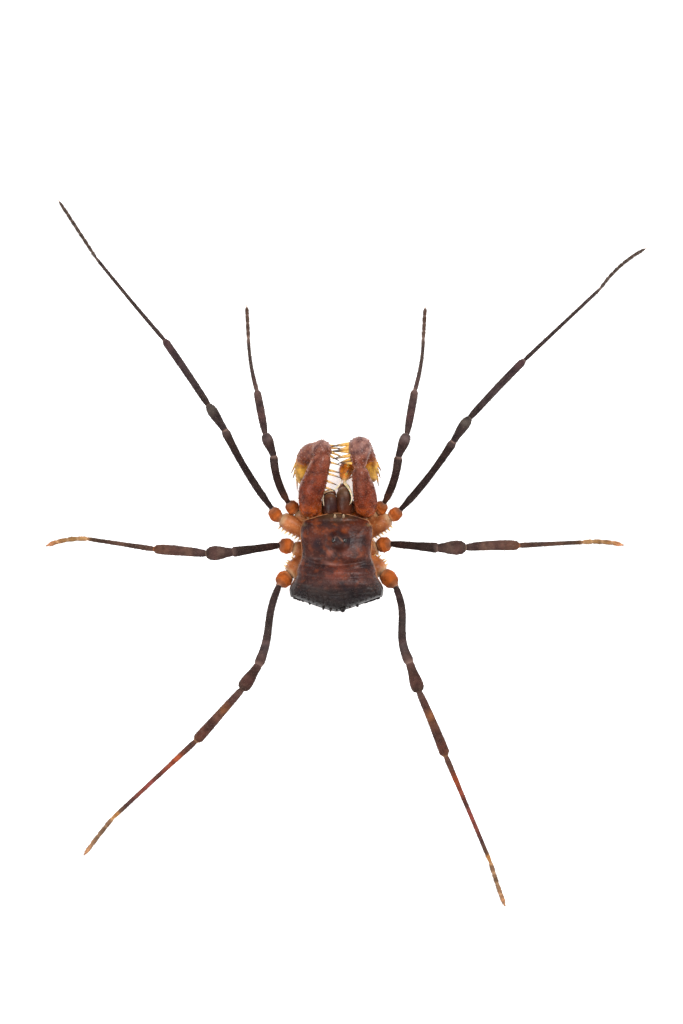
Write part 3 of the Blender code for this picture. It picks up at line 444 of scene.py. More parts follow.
def colour(rgb):
    """Scene-linear colour of a colour as the eye sees it."""
    share = np.asarray(rgb, float) / 255
    return np.where(share <= 0.04045, share / 12.92, ((share + 0.055) / 1.055) ** 2.4)


def unit(vectors):
    """The same directions with length one."""
    vectors = np.asarray(vectors, float)
    return vectors / np.maximum(np.linalg.norm(vectors, axis=-1, keepdims=True), 1e-9)


def clamp(value):
    """A value held between 0 and 1."""
    return np.clip(value, 0, 1)


def bump_at(value, centre, width):
    """A soft bump of height one round a centre."""
    return np.exp(-(((value - centre) / width) ** 2))


def before(places, at):
    """Which of the rising places is the last one before each reading."""
    return np.clip(np.searchsorted(places, at, side="right") - 1, 0, len(places) - 2)


def spread(stations, at):
    """Values read smoothly from stations of a place and one or more values."""
    rows = np.asarray(stations, float)
    places, values = rows[:, 0], rows[:, 1:]
    first = before(places, at)
    part = clamp((at - places[first]) / (places[first + 1] - places[first]))[..., None]
    part = part * part * (3 - 2 * part)
    read = values[first] + (values[first + 1] - values[first]) * part
    return read if values.shape[1] > 1 else read[..., 0]


def tints(stations, at):
    """Linear colours read smoothly from stations of a place and a colour."""
    rows = np.array(stations, float)
    rows[:, 1:] = colour(rows[:, 1:])
    return spread(rows, at)


def blend(tint, share, rgb):
    """A linear colour, one or many, drawn towards another by a share."""
    return tint + (colour(rgb) - tint) * clamp(np.reshape(share, (-1, 1)))


def measure(path):
    """Lengths of the steps of a path, and how far along it each of its points is."""
    steps = np.linalg.norm(np.diff(path, axis=0), axis=1)
    return steps, np.concatenate(([0], np.cumsum(steps)))


def smooth_line(stations, count):
    """Evenly spread rows along a smooth curve through stations of any number of values."""
    knots = np.asarray(stations, float)
    steps, reach = measure(knots[:, :3])
    knots = np.vstack((2 * knots[0] - knots[1], knots, 2 * knots[-1] - knots[-2]))
    at = np.linspace(0, reach[-1], count)
    first = before(reach, at)
    t = ((at - reach[first]) / steps[first])[:, None]
    a, b, c, d = (knots[first + k] for k in range(4))
    return 0.5 * (2 * b + (c - a) * t + (2 * a - 5 * b + 4 * c - d) * t**2 + (3 * b - a - 3 * c + d) * t**3)


def circle(count):
    """Angles evenly spread round a circle."""
    return 2 * np.pi * np.arange(count) / count


def bands(rings, sides):
    """Faces between the rings of a stack."""
    return [(low + k, low + (k + 1) % sides, low + sides + (k + 1) % sides, low + sides + k)
            for low in range(0, (rings - 1) * sides, sides) for k in range(sides)]


def ring_faces(rings, sides):
    """Faces of a closed stack of rings whose last two points are its two poles."""
    start, end = rings * sides, rings * sides + 1
    last = (rings - 1) * sides
    return (bands(rings, sides) + [(start, (k + 1) % sides, k) for k in range(sides)]
            + [(end, last + k, last + (k + 1) % sides) for k in range(sides)])


def globe(across, along):
    """A unit sphere as a patch, with its poles on Z."""
    tilt, turn = np.meshgrid(np.pi * (np.arange(1, along) / along), circle(across), indexing="ij")
    rings = np.stack((np.sin(tilt) * np.cos(turn), np.sin(tilt) * np.sin(turn), np.cos(tilt)), -1)
    points = np.vstack((rings.reshape(-1, 3), UP, -UP))
    return Patch(points, ring_faces(along - 1, across), (1 - points[:, 2]) / 2)


class Tube:
    """A closed round limb along a line, with rounded ends and places on its surface to grow from."""

    def __init__(self, path, widths, facing, sides, tall=1.0):
        self.path = np.asarray(path, float)
        self.half = np.asarray(widths, float) / 2
        self.sides = sides
        self.tangent = unit(np.gradient(self.path, axis=0))
        self.outward = unit(facing - self.tangent * (self.tangent @ facing)[:, None])
        self.upward = np.cross(self.tangent, self.outward)
        if (self.upward @ UP).sum() < 0:
            self.upward = -self.upward
        self.upward = self.upward * tall
        self.reach = measure(self.path)[1]
        self.length = self.reach[-1]

    def patch(self):
        """The limb's surface."""
        turn = circle(self.sides)[:, None]
        way = self.outward[:, None] * np.cos(turn) + self.upward[:, None] * np.sin(turn)
        rings = self.path[:, None] + way * self.half[:, None, None]
        ends = [self.path[0] - self.tangent[0] * self.half[0] * END_BULGE,
                self.path[-1] + self.tangent[-1] * self.half[-1] * END_BULGE]
        along = np.append(np.repeat(self.reach / self.length, self.sides), (0, 1))
        return Patch(np.vstack((rings.reshape(-1, 3), ends)), ring_faces(len(self.path), self.sides), along)

    def read(self, rows, at):
        """Rows that go with the line's points, read at shares of its length."""
        return np.stack([np.interp(at * self.length, self.reach, column) for column in rows.T], -1)

    def spot(self, at, angle):
        """Surface points, the ways out of it and the ways along it, at shares and angles in degrees."""
        angle = np.radians(np.broadcast_to(angle, at.shape))[:, None]
        way = self.read(self.outward, at) * np.cos(angle) + self.read(self.upward, at) * np.sin(angle)
        half = self.read(self.half[:, None], at)
        return self.read(self.path, at) + way * half, unit(way), unit(self.read(self.tangent, at))

    def angle_of(self, at, way):
        """Angles round the limb, in degrees, that face a way as nearly as its surface lets them."""
        return np.degrees(np.arctan2(self.read(self.upward, at) @ way, self.read(self.outward, at) @ way))


def profiled(path, profile, sides, scale=1.0):
    """A limb along a path, its width read from stations of share and width."""
    return Tube(path, scale * spread(profile, np.linspace(0, 1, len(path))), UP, sides)


def domed(widths, path):
    """Widths along a path, drawn in at its two ends to make them round."""
    reach = measure(path)[1]
    near = np.minimum(reach, reach[-1] - reach)
    share = np.clip(near / (widths * DOME_SHARE), 0.02, 1)
    return widths * np.sqrt(1 - (1 - share) ** 2)


def routed(stations, count, facing, sides, rounded=False, tall=1.0):
    """A limb along a smooth line through stations of X, Y, Z and width."""
    rows = smooth_line(stations, count)
    path, widths = rows[:, :3], rows[:, 3]
    if rounded:
        widths = domed(np.maximum(widths, LEAST_WIDTH), path)
    return Tube(path, widths, facing, sides, tall)


def grow(roots, ways, lengths, widths, profile, sides, bend=(0, 0, 0)):
    """Many small tapered closed forms at once, each with its root a little inside the surface."""
    roots, ways, bend = np.atleast_2d(roots), unit(np.atleast_2d(ways)), np.atleast_2d(bend)
    lengths, widths = (np.reshape(size, (-1, 1, 1)) for size in (lengths, widths))
    side = unit(np.cross(ways, np.where(np.abs(ways[:, 2:]) > 0.9, (1.0, 0, 0), UP)))
    other = np.cross(ways, side)
    heights = np.array([row[0] for row in profile] + [1.0])
    shares = np.array([row[1] for row in profile])
    line = roots[:, None] + ways[:, None] * lengths * heights[:, None]
    line = line + bend[:, None] * lengths * (heights**2)[:, None]
    turn = circle(sides)[:, None]
    ring = side[:, None] * np.cos(turn) + other[:, None] * np.sin(turn)
    rings = line[:, :-1, None] + ring[:, None] * (shares[:, None, None] * widths[..., None] / 2)
    count = len(roots)
    points = np.concatenate((rings.reshape(count, -1, 3), line[:, -1:]), axis=1)
    size = points.shape[1]
    last = size - 1 - sides
    shape = [tuple(range(sides))[::-1], *bands(len(profile), sides)]
    shape += [(last + k, last + (k + 1) % sides, size - 1) for k in range(sides)]
    faces = [tuple(corner + start for corner in face)
             for start in range(0, count * size, size) for face in shape]
    along = np.tile(np.append(np.repeat(heights[:-1], sides), 1.0), count)
    return Patch(points.reshape(-1, 3), faces, along)


def granules(tube, rng, count, shares, angles, granule):
    """Granules strewn over a limb, and the share of its length where each one stands."""
    least, greatest, sink, lean, tall, added, sides = granule
    at = rng.uniform(*shares, count)
    foot, out, ahead = tube.spot(at, rng.uniform(*angles, count))
    width = rng.uniform(least, greatest, count)
    way = out + ahead * lean
    return grow(foot - out * sink, way, width * tall + added, width, GRANULE_PROFILE, sides), at


def shared(rows, patch):
    """Rows that go with the grown forms of a patch, repeated for all their points."""
    return np.repeat(rows, len(patch.points) // len(rows), axis=0)


def placed(name, data):
    """A new object in the scene."""
    made = bpy.data.objects.new(name, data)
    bpy.context.scene.collection.objects.link(made)
    return made


class Form:
    """The points, faces, colours and marks of one piece, gathered part by part."""

    def __init__(self):
        self.points = []
        self.faces = []
        self.tints = []
        self.marks = []
        self.count = 0

    def add(self, patch, tint, mark=0.0):
        """Add a patch with its colour, one for all or one for each point, and its mark."""
        size = len(patch.points)
        self.faces += [tuple(corner + self.count for corner in face) for face in patch.faces]
        self.points.append(patch.points)
        self.tints.append(np.broadcast_to(tint, (size, 3)))
        self.marks.append(np.broadcast_to(mark, (size,)))
        self.count += size

    def paint(self, patch, stations):
        """Add a patch whose colour is read along it from stations."""
        self.add(patch, tints(stations, patch.along))

    def piece(self, name, material, slot, replaced=(), uv=None):
        """Make the mesh object, put it in the row frame and tell the frame about it."""
        mesh = bpy.data.meshes.new(name)
        mesh.from_pydata((np.vstack(self.points) + SHIFT) * MM, [], self.faces)
        tint = np.hstack((np.vstack(self.tints), np.ones((self.count, 1))))
        mesh.attributes.new("tint", "FLOAT_COLOR", "POINT").data.foreach_set("color", tint.ravel())
        mesh.attributes.new("mark", "FLOAT", "POINT").data.foreach_set("value", np.concatenate(self.marks))
        if uv is None:
            bm = bmesh.new()
            bm.from_mesh(mesh)
            bmesh.ops.recalc_face_normals(bm, faces=bm.faces)
            bm.to_mesh(mesh)
            bm.free()
        else:
            corners = np.zeros(len(mesh.loops), int)
            mesh.loops.foreach_get("vertex_index", corners)
            mesh.uv_layers.new(name="OFBake").data.foreach_set("uv", uv[corners].ravel())
        mesh.shade_smooth()
        mesh.materials.append(material)
        made = placed(name, mesh)
        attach(made, "root")
        if replaced:
            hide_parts(*replaced)


class Graph:
    """Short calls that build one material's nodes."""

    def __init__(self, name, **constants):
        self.material = bpy.data.materials.new(name)
        self.material.use_nodes = True
        self.tree = self.material.node_tree
        self.shader = self.tree.nodes["Principled BSDF"]
        for socket, value in constants.items():
            self.shader.inputs[socket.replace("_", " ")].default_value = value

    def node(self, kind, inputs, output=0, **settings):
        """Add a node, set or link its inputs and hand back one of its outputs."""
        made = self.tree.nodes.new(kind)
        for key, value in settings.items():
            setattr(made, key, value)
        for key, value in inputs.items():
            if isinstance(value, bpy.types.NodeSocket):
                self.tree.links.new(value, made.inputs[key])
            else:
                made.inputs[key].default_value = value
        return made.outputs[output]

    def place(self):
        """Place on the piece, in millimetres."""
        spot = self.node("ShaderNodeTexCoord", {}, "Object")
        return self.node("ShaderNodeMapping", {"Vector": spot, "Scale": Vector((1, 1, 1)) / MM})

    def noise(self, size, detail=4.0):
        """Soft noise whose patches are about size millimetres across."""
        return self.node("ShaderNodeTexNoise", {"Vector": self.place(), "Scale": 1 / size, "Detail": detail})

    def patches(self, size, low, high, to_low=0.0, to_high=1.0, detail=4.0):
        """Noise whose values from low to high are moved to another range and held inside it."""
        inputs = {"Value": self.noise(size, detail), "From Min": low, "From Max": high}
        return self.node("ShaderNodeMapRange", {**inputs, "To Min": to_low, "To Max": to_high})

    def ramp(self, value, *stops):
        """A colour read from stops of place and colour."""
        out = self.node("ShaderNodeValToRGB", {"Fac": value})
        marks = out.node.color_ramp.elements
        while len(marks) < len(stops):
            marks.new(1)
        for mark, (place, *rgb) in zip(marks, stops):
            mark.position = place
            mark.color = (*colour(rgb), 1)
        return out

    def mix(self, share, first, second, blend_type="MIX"):
        """Two colours mixed by a share."""
        inputs = {0: share, 6: first, 7: second}
        for key in (6, 7):
            if isinstance(inputs[key], tuple):
                inputs[key] = (*colour(inputs[key]), 1)
        return self.node("ShaderNodeMix", inputs, 2, data_type="RGBA", blend_type=blend_type)

    def product(self, first, second):
        """Two values multiplied."""
        return self.node("ShaderNodeMath", {0: first, 1: second}, operation="MULTIPLY")

    def grain(self, noise_size, cell_size):
        """Fine relief: noise, and cells round many points, of about these sizes in millimetres."""
        cells = self.node("ShaderNodeTexVoronoi", {"Vector": self.place(), "Scale": 1 / cell_size})
        return self.node("ShaderNodeMath", {0: self.noise(noise_size, 2), 1: cells}, operation="ADD")

    def tinted(self, other):
        """The colour that the points of the piece carry, times another."""
        tint = self.node("ShaderNodeAttribute", {}, "Color", attribute_name="tint")
        return self.mix(1.0, tint, other, "MULTIPLY")

    def finish(self, base, gloss=None, relief=None, depth=0.0):
        """Link the colour, the gloss (patch size, two roughnesses) and the relief, depth in millimetres."""
        self.tree.links.new(base, self.shader.inputs["Base Color"])
        if gloss:
            roughness = self.patches(gloss[0], 0.3, 0.7, *gloss[1:])
            self.tree.links.new(roughness, self.shader.inputs["Roughness"])
        if relief is not None:
            normal = self.node("ShaderNodeBump", {"Height": relief, "Distance": depth * MM, "Strength": 1.0})
            self.tree.links.new(normal, self.shader.inputs["Normal"])
        return self.material


def limb_material(name, size, dark, light, depth, fleck=0.2, roughness=(0.26, 0.48), shine=0.2):
    """Cuticle that keeps the colour its points carry, mottled, with fine grain in its surface."""
    graph = Graph(name, Specular_IOR_Level=shine)
    base = graph.tinted(graph.mix(graph.patches(size, 0.30, 0.72), dark, light))
    base = graph.mix(graph.patches(size * 0.2, 0.56, 0.74, 0, fleck), base, (206, 150, 120))
    return graph.finish(base, (0.12, *roughness), graph.grain(0.05, 0.06), depth)


def plate_material():
    """The back plate: its own colours, mottled with red brown, nearly black and purple brown."""
    graph = Graph("plate", Specular_IOR_Level=0.17)
    warmth = graph.node("ShaderNodeAttribute", {}, "Fac", attribute_name="mark")
    base = graph.tinted(graph.ramp(graph.noise(0.50, 5), (0.30, 150, 140, 146), (0.52, 214, 202, 198),
                                   (0.70, 250, 240, 232)))
    warm = graph.product(graph.patches(0.22, 0.52, 0.68, 0, 0.42), warmth)
    base = graph.mix(warm, base, (140, 68, 34))
    base = graph.mix(graph.patches(0.34, 0.54, 0.66, 0, 0.62, 3), base, (30, 23, 27))
    vein = graph.product(graph.patches(0.10, 0.56, 0.70, 0, 0.28, 5), warmth)
    base = graph.mix(vein, base, (122, 88, 80))
    return graph.finish(base, (0.15, 0.27, 0.47), graph.grain(0.04, 0.10), 0.006)


def plain_material(name, size, depth, roughness=(0.35, 0.5), **constants):
    """A surface that keeps the colour its points carry, with a little variation and relief."""
    graph = Graph(name, **constants)
    base = graph.tinted(graph.mix(graph.patches(size, 0.3, 0.7), (205, 200, 196), (255, 255, 255)))
    return graph.finish(base, (size, *roughness), graph.noise(size * 0.4), depth)


def eye_material():
    """Glossy black eyes with a faint brown bloom."""
    graph = Graph("eye", Roughness=0.1, Specular_IOR_Level=0.45, Coat_Weight=0.3, Coat_Roughness=0.12)
    base = graph.ramp(graph.noise(0.05), (0.35, 8, 7, 8), (0.75, 30, 20, 18))
    return graph.finish(base, (0.03, 0.10, 0.18))


def squareness(a, b, amount):
    """How far points of a disc move out when the disc is made squarer."""
    reach = np.maximum(np.maximum(np.abs(a), np.abs(b)), 1e-6)
    return 1 + amount * (np.hypot(a, b) / reach - 1)


def plate_curve(along, across):
    """How far along the plate points of its outline square lie, with both ends rounded."""
    half_length = (PLATE_REAR - PLATE_FRONT) / 2
    across = np.abs(across)
    curve = np.where(along > 0, PLATE_REAR_CURVE * across**PLATE_REAR_POINT, PLATE_FRONT_CURVE * across**2)
    return (PLATE_FRONT + PLATE_REAR) / 2 + along * (half_length - curve)


def rear_edge(x):
    """Where the plate ends behind, at places across it."""
    return plate_curve(np.ones_like(x), x / PLATE_HALF_WIDTHS[-1][1])


def brow_nearness(x, y):
    """How near places on the plate are to the mound's brow, from 0 to 1."""
    place = np.stack((x, y), -1)
    near = np.full(x.shape, np.inf)
    for start, end in zip(BROW, BROW[1:]):
        run = np.subtract(end, start)
        share = clamp((place - start) @ run / (run @ run))
        near = np.minimum(near, np.linalg.norm(place - start - share[..., None] * run, axis=-1))
    return bump_at(near, 0, 0.024)


def plate_relief(x, y):
    """Height of the mound, ridges and grooves above the plate's plain vault."""
    from_mound = np.hypot(x - MOUND[0], (y - MOUND[1]) * 0.95)
    relief = MOUND_HEIGHT * np.exp(-((from_mound / MOUND_RADIUS) ** 4)) + 0.014 * brow_nearness(x, y)
    arc = 0.22 * (x / 1.2) ** 2
    relief += 0.03 * bump_at(y, 0.20 - arc, 0.07) - 0.05 * bump_at(y, 0.08 - arc, 0.07)
    for middle in (0.52, 0.84, 1.12):
        relief -= 0.022 * bump_at(y, middle - 0.10 * (x / 1.4) ** 2, 0.045)
    rear_half = PLATE_HALF_WIDTHS[-1][1]
    from_rear = rear_edge(np.clip(x, -rear_half, rear_half)) - y
    relief -= 0.03 * bump_at(from_rear, 0.50, 0.05)
    relief += 0.018 * np.cos(x * 2 * np.pi / 0.17) * clamp((0.46 - from_rear) / 0.1)
    relief -= 0.035 * bump_at(y, -1.36, 0.06) * bump_at(x, 0, 0.9)
    for side in SIDES.values():
        relief -= 0.03 * bump_at(x, side * 0.66, 0.18) * bump_at(y, -0.95, 0.45)
    return relief


def plate_shape(sphere):
    """The plate's surface from the points of a unit sphere."""
    a, b, c = sphere.T
    square = squareness(a, b, PLATE_SQUARENESS)
    across, along = a * square, b * square
    y = plate_curve(along, across)
    x = across * spread(PLATE_HALF_WIDTHS, y)
    vault = spread(PLATE_HEIGHTS, y) * np.maximum(c, 0) ** PLATE_ROUNDING
    top = PLATE_RIM + vault + plate_relief(x, y) * clamp(c * 3)
    under = PLATE_RIM - (PLATE_RIM - PLATE_UNDERSIDE) * np.abs(c) ** 0.3
    return np.stack((x, y, np.where(c > 0, top, under)), -1)


def plate_top(x, y):
    """Height of the plate's upper surface at places in plan."""
    across = x / spread(PLATE_HALF_WIDTHS, y)
    middle = plate_curve(np.zeros_like(y), across)
    along = (y - middle) / np.abs(plate_curve(np.copysign(1.0, y), across) - middle)
    flat = np.hypot(across, along) / squareness(across, along, PLATE_SQUARENESS)
    rise = np.sqrt(np.maximum(1 - flat * flat, 0))
    return PLATE_RIM + spread(PLATE_HEIGHTS, y) * rise**PLATE_ROUNDING + plate_relief(x, y) * clamp(rise * 3)


def plate_out(x, y):
    """The way out of the plate's upper surface at places in plan."""
    step = 0.02
    slope_x = (plate_top(x + step, y) - plate_top(x - step, y)) / (2 * step)
    slope_y = (plate_top(x, y + step) - plate_top(x, y - step)) / (2 * step)
    return unit(np.stack((-slope_x, -slope_y, np.ones_like(x)), -1))


def plate_tints(points):
    """Colours of the plate by place: warm carapace, purple abdomen, black rear, pale margins, and painted
    highlights on the middle band and on the mound's brow.
    """
    x, y, z = points.T
    edge = np.abs(x) / spread(PLATE_HALF_WIDTHS, y)
    brow = brow_nearness(x, y)
    tint = tints(PLATE_COLOURS, y + 0.30 * edge**1.5)
    for centre_x, centre_y, size, *rgb in PLATE_PATCHES:
        near = ((x - centre_x) ** 2 + (y - centre_y) ** 2) / size**2
        tint = blend(tint, 0.85 * np.exp(-(near**1.5)), rgb)
    for share, rgb in (
            # Painted highlight: the pink band that curves across the middle of the plate
            (0.75 * bump_at(y, 0.05 - 0.3 * x * x, 0.055) * bump_at(x, 0.20, 0.34), (180, 134, 122)),
            (0.6 * clamp((edge - 0.95) / 0.05) * clamp((0.7 - y) / 0.4), (140, 78, 40)),
            (0.75 * bump_at(np.abs(x), 1.07, 0.08) * bump_at(y, -1.24, 0.035), (190, 160, 104)),
            # Painted highlight: the pale left half of the mound's brow; its right half is the brow's tan
            (0.85 * brow * clamp((x + 0.02) / 0.06), (214, 188, 176)),
            (0.65 * brow * clamp((0.02 - x) / 0.06), (150, 104, 80)),
            (clamp((PLATE_RIM + 0.04 - z) / 0.05) * clamp((-1.25 - y) / 0.1), (206, 180, 140))):
        tint = blend(tint, share, rgb)
    return tint


def add_studs(form, x, y, width, length, lean, sides, tip=None, profile=GRANULE_PROFILE):
    """Studs on the plate at places in plan, leaning, their tips more tinted away from the rear."""
    half = spread(PLATE_HALF_WIDTHS, y)
    inside = (y < plate_curve(np.ones_like(x), x / half) - 0.01) & (np.abs(x) < half)
    width, length = (np.broadcast_to(size, x.shape)[inside] for size in (width, length))
    x, y = x[inside], y[inside]
    foot = np.stack((x, y, plate_top(x, y)), -1)
    way = unit(plate_out(x, y) + lean)
    patch = grow(foot - way * 0.25 * length[:, None], way, length, width, profile, sides)
    tint = shared(plate_tints(foot), patch)
    if tip:
        tint = blend(tint, 0.8 * patch.along * shared(1 - 0.8 * clamp((y - 0.8) / 0.3), patch), tip)
    form.add(patch, tint)


def build_plate(material):
    """The back plate with its granules, rim bead and tubercles."""
    rng = np.random.default_rng(SEEDS["plate"])
    form = Form()
    sphere = globe(280, 150)
    points = plate_shape(sphere.points)
    warmth = spread(PLATE_WARMTH, points[:, 1])
    for x, y, reach in COOL_SPOTS:
        warmth = warmth * clamp(np.hypot(points[:, 0] - x, points[:, 1] - y) / reach - 0.4)
    form.add(Patch(points, sphere.faces, sphere.along), plate_tints(points), warmth)

    turn = np.linspace(0, 2 * np.pi, 241)
    rim = plate_shape(np.stack((np.cos(turn), np.sin(turn), np.zeros_like(turn)), -1))
    bead = Tube(rim, np.full(len(rim), RIM_BEAD), UP, 8).patch()
    form.add(bead, blend(colour((186, 128, 84)), (bead.points[:, 1] - 0.4) / 0.4, (50, 42, 42)))

    y = rng.uniform(-1.5, 1.55, GRANULE_TRIES)
    x = rng.uniform(-0.97, 0.97, GRANULE_TRIES) * spread(PLATE_HALF_WIDTHS, y)
    y = np.minimum(y, rear_edge(x) - 0.02)
    dense = 0.16 + 0.30 * (y > 0.1) + 0.35 * (y > 0.9) + 0.25 * (np.abs(x) > 0.95)
    clear = np.hypot(x - MOUND[0], y - MOUND[1]) > 0.2
    corner = (y > 0.8) & (np.abs(x) > 1.44)
    keep = (rng.random(GRANULE_TRIES) < dense) & clear & ~corner
    size = 0.02 + 0.04 * rng.random(keep.sum()) ** 2
    add_studs(form, x[keep], y[keep], size * 1.2, size * 0.55, (0, 0, 0), 7, (96, 68, 60))
    for inset, reach, count, width, length in REAR_ROWS:
        x = np.linspace(-reach, reach, count) + rng.uniform(-0.04, 0.04, count)
        y = rear_edge(x) - inset + rng.uniform(-0.02, 0.02, count)
        width = width * rng.uniform(0.75, 1.2, count)
        add_studs(form, x, y, width, length * rng.uniform(0.6, 1.3, count), (0, 0.6, 0), 9, (70, 58, 56))
    x, width, length = np.transpose(REAR_KNOBS)
    add_studs(form, x, rear_edge(x) - 0.035, width, length + 0.03, (0, 1.2, 0), 12, (62, 54, 52))
    x, y = np.array(((0.05, -0.23), (-1.50, -1.50)))
    add_studs(form, x, y, 0.13, 0.22, (0, -0.3, 0.4), 12, (250, 226, 190), TUBERCLE_PROFILE)
    y = np.linspace(-1.2, 0.84, SIDE_STUDS)
    for side in SIDES.values():
        x = side * (spread(PLATE_HALF_WIDTHS, y) * 0.965)
        add_studs(form, x, y, 0.04, rng.uniform(0.008, 0.024, SIDE_STUDS), (side * 0.6, 0.1, 0), 7)
    form.piece("back_plate", material, "back_plate", ["scutum"])


def build_eyes(material, lid_material):
    """Two round glossy eyes on the sides of the mound, each in a raised tan lid."""
    form, lids = Form(), Form()
    sphere = globe(32, 24)
    turn = np.linspace(0, 2 * np.pi, 49)[:, None]
    for side in SIDES.values():
        centre = np.array((MOUND[0] + side * EYE_SPREAD, MOUND[1], EYE_HEIGHT))
        form.add(Patch(centre + sphere.points * EYE_RADIUS, sphere.faces, sphere.along), colour((10, 9, 10)))
        way = unit((side * 0.8, -0.1, 0.6))
        across = unit(np.cross(way, (0, 1, 0)))
        other = np.cross(way, across)
        ring = centre - way * 0.02 + (across * np.cos(turn) + other * np.sin(turn)) * (EYE_RADIUS + LID_GAP)
        lids.add(Tube(ring, np.full(len(ring), LID_WIDTH), way, 8).patch(), colour((104, 70, 54)))
    form.piece("eyes", material, "eyes", ["eye_left", "eye_right"])
    lids.piece("eye_lids", lid_material, "back_plate")


def abdomen_shape(sphere):
    """The soft hind body under the plate, with the sternites as shallow steps below."""
    a, b, c = sphere.T
    square = squareness(a, b, 0.7)
    across, along = a * square, b * square
    y = 0.58 + along * np.where(along > 0, 0.86 - 0.46 * np.abs(across) ** 1.3, 0.95)
    x = across * spread(BELLY_HALF_WIDTHS, y)
    low = spread(BELLY_LOWS, y) + 0.018 * np.cos(y * 2 * np.pi / STERNITE) * clamp((y - 0.1) / 0.2)
    rise = np.where(c > 0, 0.42 * np.maximum(c, 0) ** 0.5, (low - BELLY_MIDDLE) * np.abs(c) ** 0.7)
    return np.stack((x, y, BELLY_MIDDLE + rise), -1)


def flank_shape(sphere):
    """The soft front body between plate and coxae, and the height of its folds from -1 to 1."""
    a, b, c = sphere.T
    square = squareness(a, b, 0.6)
    y = -0.62 + b * square * 0.90
    z = BELLY_MIDDLE + np.where(c > 0, 0.42, 0.45) * np.sign(c) * np.abs(c) ** 0.6
    fold = np.cos((z + 0.03 * np.sin(y * 9)) * 2 * np.pi / 0.11) * np.sin(np.pi * clamp((z - 0.95) / 0.6))
    x = a * square * (spread(PLATE_HALF_WIDTHS, y) - 0.14) * (1 + 0.016 * fold)
    return np.stack((x, y, z), -1), fold


def build_belly(material):
    """Soft sides, underside, mouth lobes and the orange coxae with their combs of small spines."""
    rng = np.random.default_rng(SEEDS["belly"])
    form = Form()
    sphere = globe(160, 90)
    points = abdomen_shape(sphere.points)
    pale = clamp((points[:, 2] - 1.05) / 0.3)
    stripe = bump_at((points[:, 1] / STERNITE) % 1, 0.5, 0.22) * (1 - pale)
    skin = blend(colour((140, 88, 58)), pale, (158, 108, 70)) * (1 - 0.45 * stripe[:, None])
    form.add(Patch(points, sphere.faces, sphere.along), skin)

    sphere = globe(120, 90)
    points, fold = flank_shape(sphere.points)
    # Painted shade: the skin is darker in the troughs of its folds
    skin = blend(colour((158, 108, 68)), 0.5 - 0.5 * fold, (112, 66, 42))
    form.add(Patch(points, sphere.faces, sphere.along), skin)

    for name in LEGS:
        side, pair = which_leg(name)
        root, elbow, hip, step = hip_joint(name)
        end = hip - step * 0.40
        coxa = profiled(smooth_line((root, elbow, elbow + (end - elbow) * 0.6, end), 40), COXA_PROFILE, 28,
                        COXAE[pair][2])
        form.paint(coxa.patch(), COXA_COLOURS)
        studs = granules(coxa, rng, COXA_GRANULES, (0.2, 0.93), (0, 360), COXA_GRANULE)[0]
        form.add(studs, colour((206, 150, 98)))
        if pair in COMBS:
            count, reach, rearward = COMBS[pair]
            at = np.linspace(0.46, 0.92, count)
            foot, way, ahead = coxa.spot(at, coxa.angle_of(at, (side * 0.5, rearward, 0.15)))
            length = reach * rng.uniform(0.85, 1.15, count)
            form.paint(grow(foot - way * 0.03, way + ahead * 0.25, length, 0.075, TUBERCLE_PROFILE, 10),
                       COMB_COLOURS)
    for side in SIDES.values():
        mirror = (side, 1, 1)
        coxa = profiled(smooth_line(np.array(PALP_COXA) * mirror, 28), PALP_COXA_WIDTHS, 24)
        form.paint(coxa.patch(), PALP_COXA_COLOURS)
        lobe = profiled(smooth_line(np.array(MOUTH_LOBE) * mirror, 20), MOUTH_LOBE_WIDTHS, 20)
        form.add(lobe.patch(), colour((214, 164, 108)))
    form.piece("belly", material, "belly", ["venter"])


def ring_bend(x):
    """How far forward the rings of the rear curve towards the sides."""
    return 0.42 * (np.abs(x) / 1.4) ** 1.3


def build_rings(material):
    """Three dark rings and the anal plate that close the rear below the back plate."""
    rng = np.random.default_rng(SEEDS["rings"])
    form = Form()
    sphere = globe(96, 24)
    a, b, c = sphere.points.T
    across = np.arcsin(np.clip(a, -1, 1)) / (np.pi / 2)
    taper = np.sqrt(np.maximum(1 - a * a, 1e-6))
    out, tall = (np.sign(part) * (np.abs(part) / taper) ** 0.7 * taper**0.4 for part in (b, c))
    for height, rear, half_width in RINGS:
        x = across * half_width
        y = rear - 0.14 + out * 0.12 - ring_bend(x) - 0.03 * tall
        points = np.stack((x, y, height + tall * RING_THICKNESS), -1)
        form.add(Patch(points, sphere.faces, sphere.along), colour((74, 56, 54)))
        count = int(17 * half_width)
        x = np.linspace(-0.86, 0.86, count) * half_width + rng.uniform(-0.03, 0.03, count)
        foot = np.stack((x, rear - 0.05 - ring_bend(x), height + rng.uniform(-0.035, 0.025, count)), -1)
        size = rng.uniform(0.035, 0.075, count)
        studs = grow(foot, (0, 1, -0.2), size * 0.7 + 0.02, size, GRANULE_PROFILE, 9)
        form.add(studs, colour((92, 70, 64)))
    form.piece("rear_rings", material, "back_plate", ["tergites"])


def which_leg(name):
    """The side and the pair of a leg."""
    return SIDES[name.split("_")[0]], int(name[-1])


def hip_joint(name):
    """The root and elbow of a leg's coxa, its trochanter's middle, and a step as long as that is wide."""
    side, pair = which_leg(name)
    root, elbow = np.array(COXAE[pair][:2]) * (side, 1, 1)
    x, y = LEGS[name][0]
    hip = np.array((side * x, y, LEG_HEIGHTS[pair][0]))
    return root, elbow, hip, unit(hip - elbow) * TROCHANTER_WIDTHS[pair]


